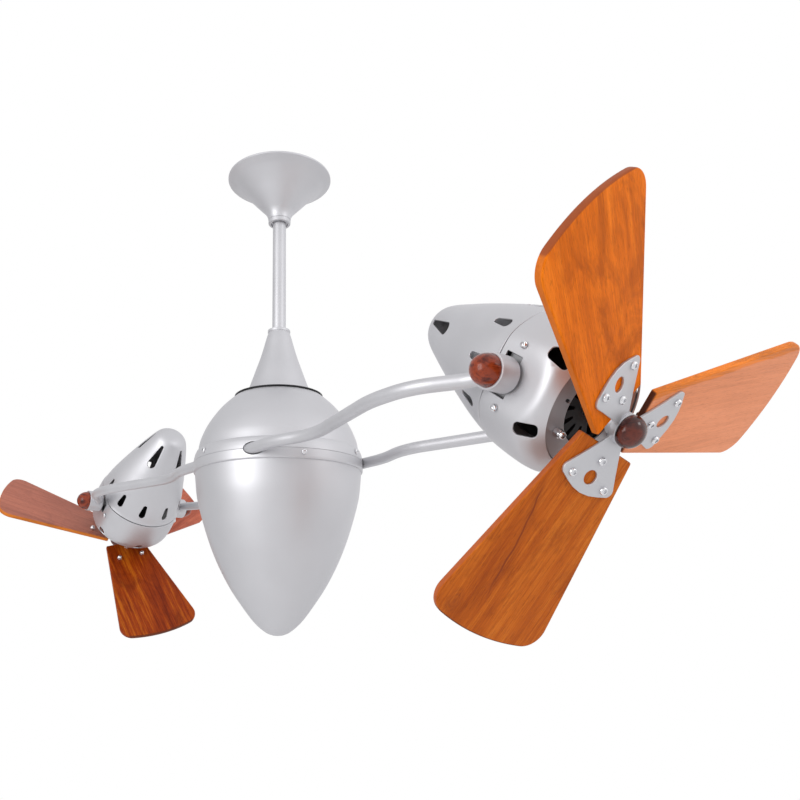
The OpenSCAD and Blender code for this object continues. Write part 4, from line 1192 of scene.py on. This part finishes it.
BLADE = dense(clean(blade_outline()), 6.0)
LOBE = clean(lobe_outline())
for h in "ab":
    body = "rotor_" + h
    for k in range(3):
        m = blade_frame(h, k)
        bm = plate_bm(BLADE, [circle2(x, y, 2.1, 18) for x, y in HOLES], 0.0, BLADE_T,
                      edge_rings(BLADE_T, 1.5, 0.3, 4))
        node = f"{h}_blade_{k + 1}"
        ob = new_object(f"blade_{h}{k + 1}", bm, WOODS[node], m)
        place(ob, body, node, slot="blade_wood")
    bm = bmesh.new()
    for k in range(3):
        part = plate_bm(LOBE, [circle2(49, 0, 6.6, 40)] + [circle2(x, y, 2.1, 18) for x, y in HOLES], 2.4, 2.4,
                        edge_rings(2.4, 0.5, 0.25, 3))
        bmesh.ops.transform(part, matrix=SPIN[h].inverted() @ blade_frame(h, k), verts=part.verts)
        tmp = bpy.data.meshes.new("tmp")
        part.to_mesh(tmp)
        part.free()
        bm.from_mesh(tmp)
        bpy.data.meshes.remove(tmp)
    prof = fillet([(5.03, 70), (10.5, 70), (10.5, 77), (14.2, 77), (14.2, 84.3), (0.0, 84.3)], [0, 0.5, 0.3, 0.6, 0.6, 0],
                  seg=4, sup=0.3)
    lathe_bm(prof, 72, closed=False, bm=bm)
    ob = new_object(f"hub_plate_{h}", bm, NICKEL, SPIN[h])
    place(ob, body, f"{h}_blade_hub", slot="nickel")
    bm = bmesh.new()
    nuts = bmesh.new()
    for k in range(3):
        m = SPIN[h].inverted() @ blade_frame(h, k)
        for x, y in HOLES:
            screw_bm(bm, m @ T(x, y, 2.42), 3.9, 2.6, 1.9, 2.0, BLADE_T + 6.5)
            mm = m @ T(x, y, -BLADE_T) @ R(180, "X")
            prism_bm(nuts, mm, 4.2, 0.02, 3.0, ch=0.3)
            lathe_bm([(0, 2.9), (3.5, 2.9), (3.5, 3.4), (3.3, 4.4), (2.6, 5.7), (1.4, 6.5), (0, 6.8)], 32, closed=False,
                     bm=nuts, matrix=mm)
    ob = new_object(f"hub_screws_{h}", bm, BRIGHT, SPIN[h])
    place(ob, body, f"{h}_blade_screws", slot="bright_screw")
    ob = new_object(f"hub_nuts_{h}", nuts, BRIGHT, SPIN[h])
    place(ob, body, f"{h}_blade_nuts", slot="bright_screw")
    prof = [(0, 84.42), (12.9, 84.42), (13.7, 84.8), (14.3, 85.6)]
    prof += [(14.6 * math.cos(rad(a)) ** 0.98, 87.2 + 12.6 * math.sin(rad(a))) for a in range(0, 90, 4)] + [(0, 99.8)]
    ob = new_object(f"hub_dome_{h}", lathe_bm(prof, 96, closed=False), HUB_WOOD, SPIN[h])
    place(ob, body, f"{h}_hub_cap", slot="hub_wood")

# ---------------------------------------------------------------- carried-over nodes
LOOK = {
    "zinc_steel": ZINC, "bright_screw": BRIGHT, "black_metal": BLACK, "bearing_steel": BEARING,
    "black_plastic": BLACK_PL, "fibre": FIBRE, "nickel": NICKEL,
}
slots = {d["node"]: d["material_slot"] for d in frame["record"]["subparts"]}
for node, ob in frame["nodes"].items():
    # the motor bracket takes the darker zinc copy, painted shade inside the head
    look = ZINC_PAINTED_SHADE if node.endswith("motor_bracket") else LOOK.get(slots.get(node), NICKEL)
    for i in range(len(ob.material_slots)):
        ob.material_slots[i].material = look
    if not ob.material_slots:
        ob.data.materials.append(look)

# ---------------------------------------------------------------- floor, world, lights
floor_t = Tree("pale_floor")
fn = floor_t.noise(floor_t.mapping((1, 1, 1)), 3.0, 3.0)
floor_t.link(floor_t.ramp(fn, [(0.3, (0.86, 0.86, 0.86)), (0.7, (0.90, 0.90, 0.90))]), floor_t.b.inputs["Base Color"])
floor_t.set(Roughness=0.9)
bm = bmesh.new()
bmesh.ops.create_circle(bm, cap_ends=True, radius=5200, segments=96)
floor = new_object("floor", bm, floor_t.m, T(0, 0, -2400))

world = bpy.data.worlds.new("studio")
S.world = world
world.use_nodes = True
wt = world.node_tree
bg = wt.nodes["Background"]
# white behind the fan for the camera, a softer grey room for light and reflections
wco = wt.nodes.new("ShaderNodeTexCoord")
wsep = wt.nodes.new("ShaderNodeSeparateXYZ")
wt.links.new(wco.outputs["Generated"], wsep.inputs[0])
wramp = wt.nodes.new("ShaderNodeValToRGB")
we = wramp.color_ramp.elements
we[0].position, we[0].color = 0.0, (0.26, 0.26, 0.27, 1)
we[1].position, we[1].color = 1.0, (0.86, 0.86, 0.87, 1)
wmid = we.new(0.5)
wmid.color = (0.84, 0.84, 0.85, 1)
wlow = we.new(0.25)
wlow.color = (0.54, 0.54, 0.55, 1)
wmap = wt.nodes.new("ShaderNodeMapRange")
for k_, v_ in zip(("From Min", "From Max", "To Min", "To Max"), (-1.0, 1.0, 0.0, 1.0)):
    wmap.inputs[k_].default_value = v_
wt.links.new(wsep.outputs["Z"], wmap.inputs["Value"])
wt.links.new(wmap.outputs["Result"], wramp.inputs["Fac"])
wpath = wt.nodes.new("ShaderNodeLightPath")
wmix = wt.nodes.new("ShaderNodeMix")
wmix.data_type = "RGBA"
wt.links.new(wpath.outputs["Is Camera Ray"], wmix.inputs[0])
# the room is lighter on the far side and towards +X than behind the viewer
wdot = wt.nodes.new("ShaderNodeVectorMath")
wdot.operation = "DOT_PRODUCT"
wt.links.new(wco.outputs["Generated"], wdot.inputs[0])
wdot.inputs[1].default_value = (0.75, 0.65, 0.0)
wside = wt.nodes.new("ShaderNodeMapRange")
for k_, v_ in zip(("From Min", "From Max", "To Min", "To Max"), (-1.0, 1.0, 0.78, 1.32)):
    wside.inputs[k_].default_value = v_
wt.links.new(wdot.outputs["Value"], wside.inputs["Value"])
wscale = wt.nodes.new("ShaderNodeVectorMath")
wscale.operation = "SCALE"
wt.links.new(wramp.outputs["Color"], wscale.inputs[0])
wt.links.new(wside.outputs["Result"], wscale.inputs["Scale"])
wt.links.new(wscale.outputs["Vector"], wmix.inputs[6])
wmix.inputs[7].default_value = (1, 1, 1, 1)
wt.links.new(wmix.outputs[2], bg.inputs["Color"])
bg.inputs["Strength"].default_value = 1.0


def area(name, loc, target, size, power, size_y=None):
    d = bpy.data.lights.new(name, "AREA")
    d.energy = power
    d.size = size
    if size_y:
        d.shape = "RECTANGLE"
        d.size_y = size_y
    o = bpy.data.objects.new(name, d)
    S.collection.objects.link(o)
    o.location = loc
    o.rotation_mode = "QUATERNION"
    o.rotation_quaternion = (Vector(target) - Vector(loc)).to_track_quat("-Z", "Y")
    return o


area("key", (0.42, -2.2, -0.15), (0.1, 0, -0.40), 1.2, 22.0, 1.5)
area("front", (2.7, 0.85, 0.5), (0.3, 0, -0.45), 0.6, 7.0)
S.view_settings.view_transform = "Standard"
S.view_settings.look = "None"
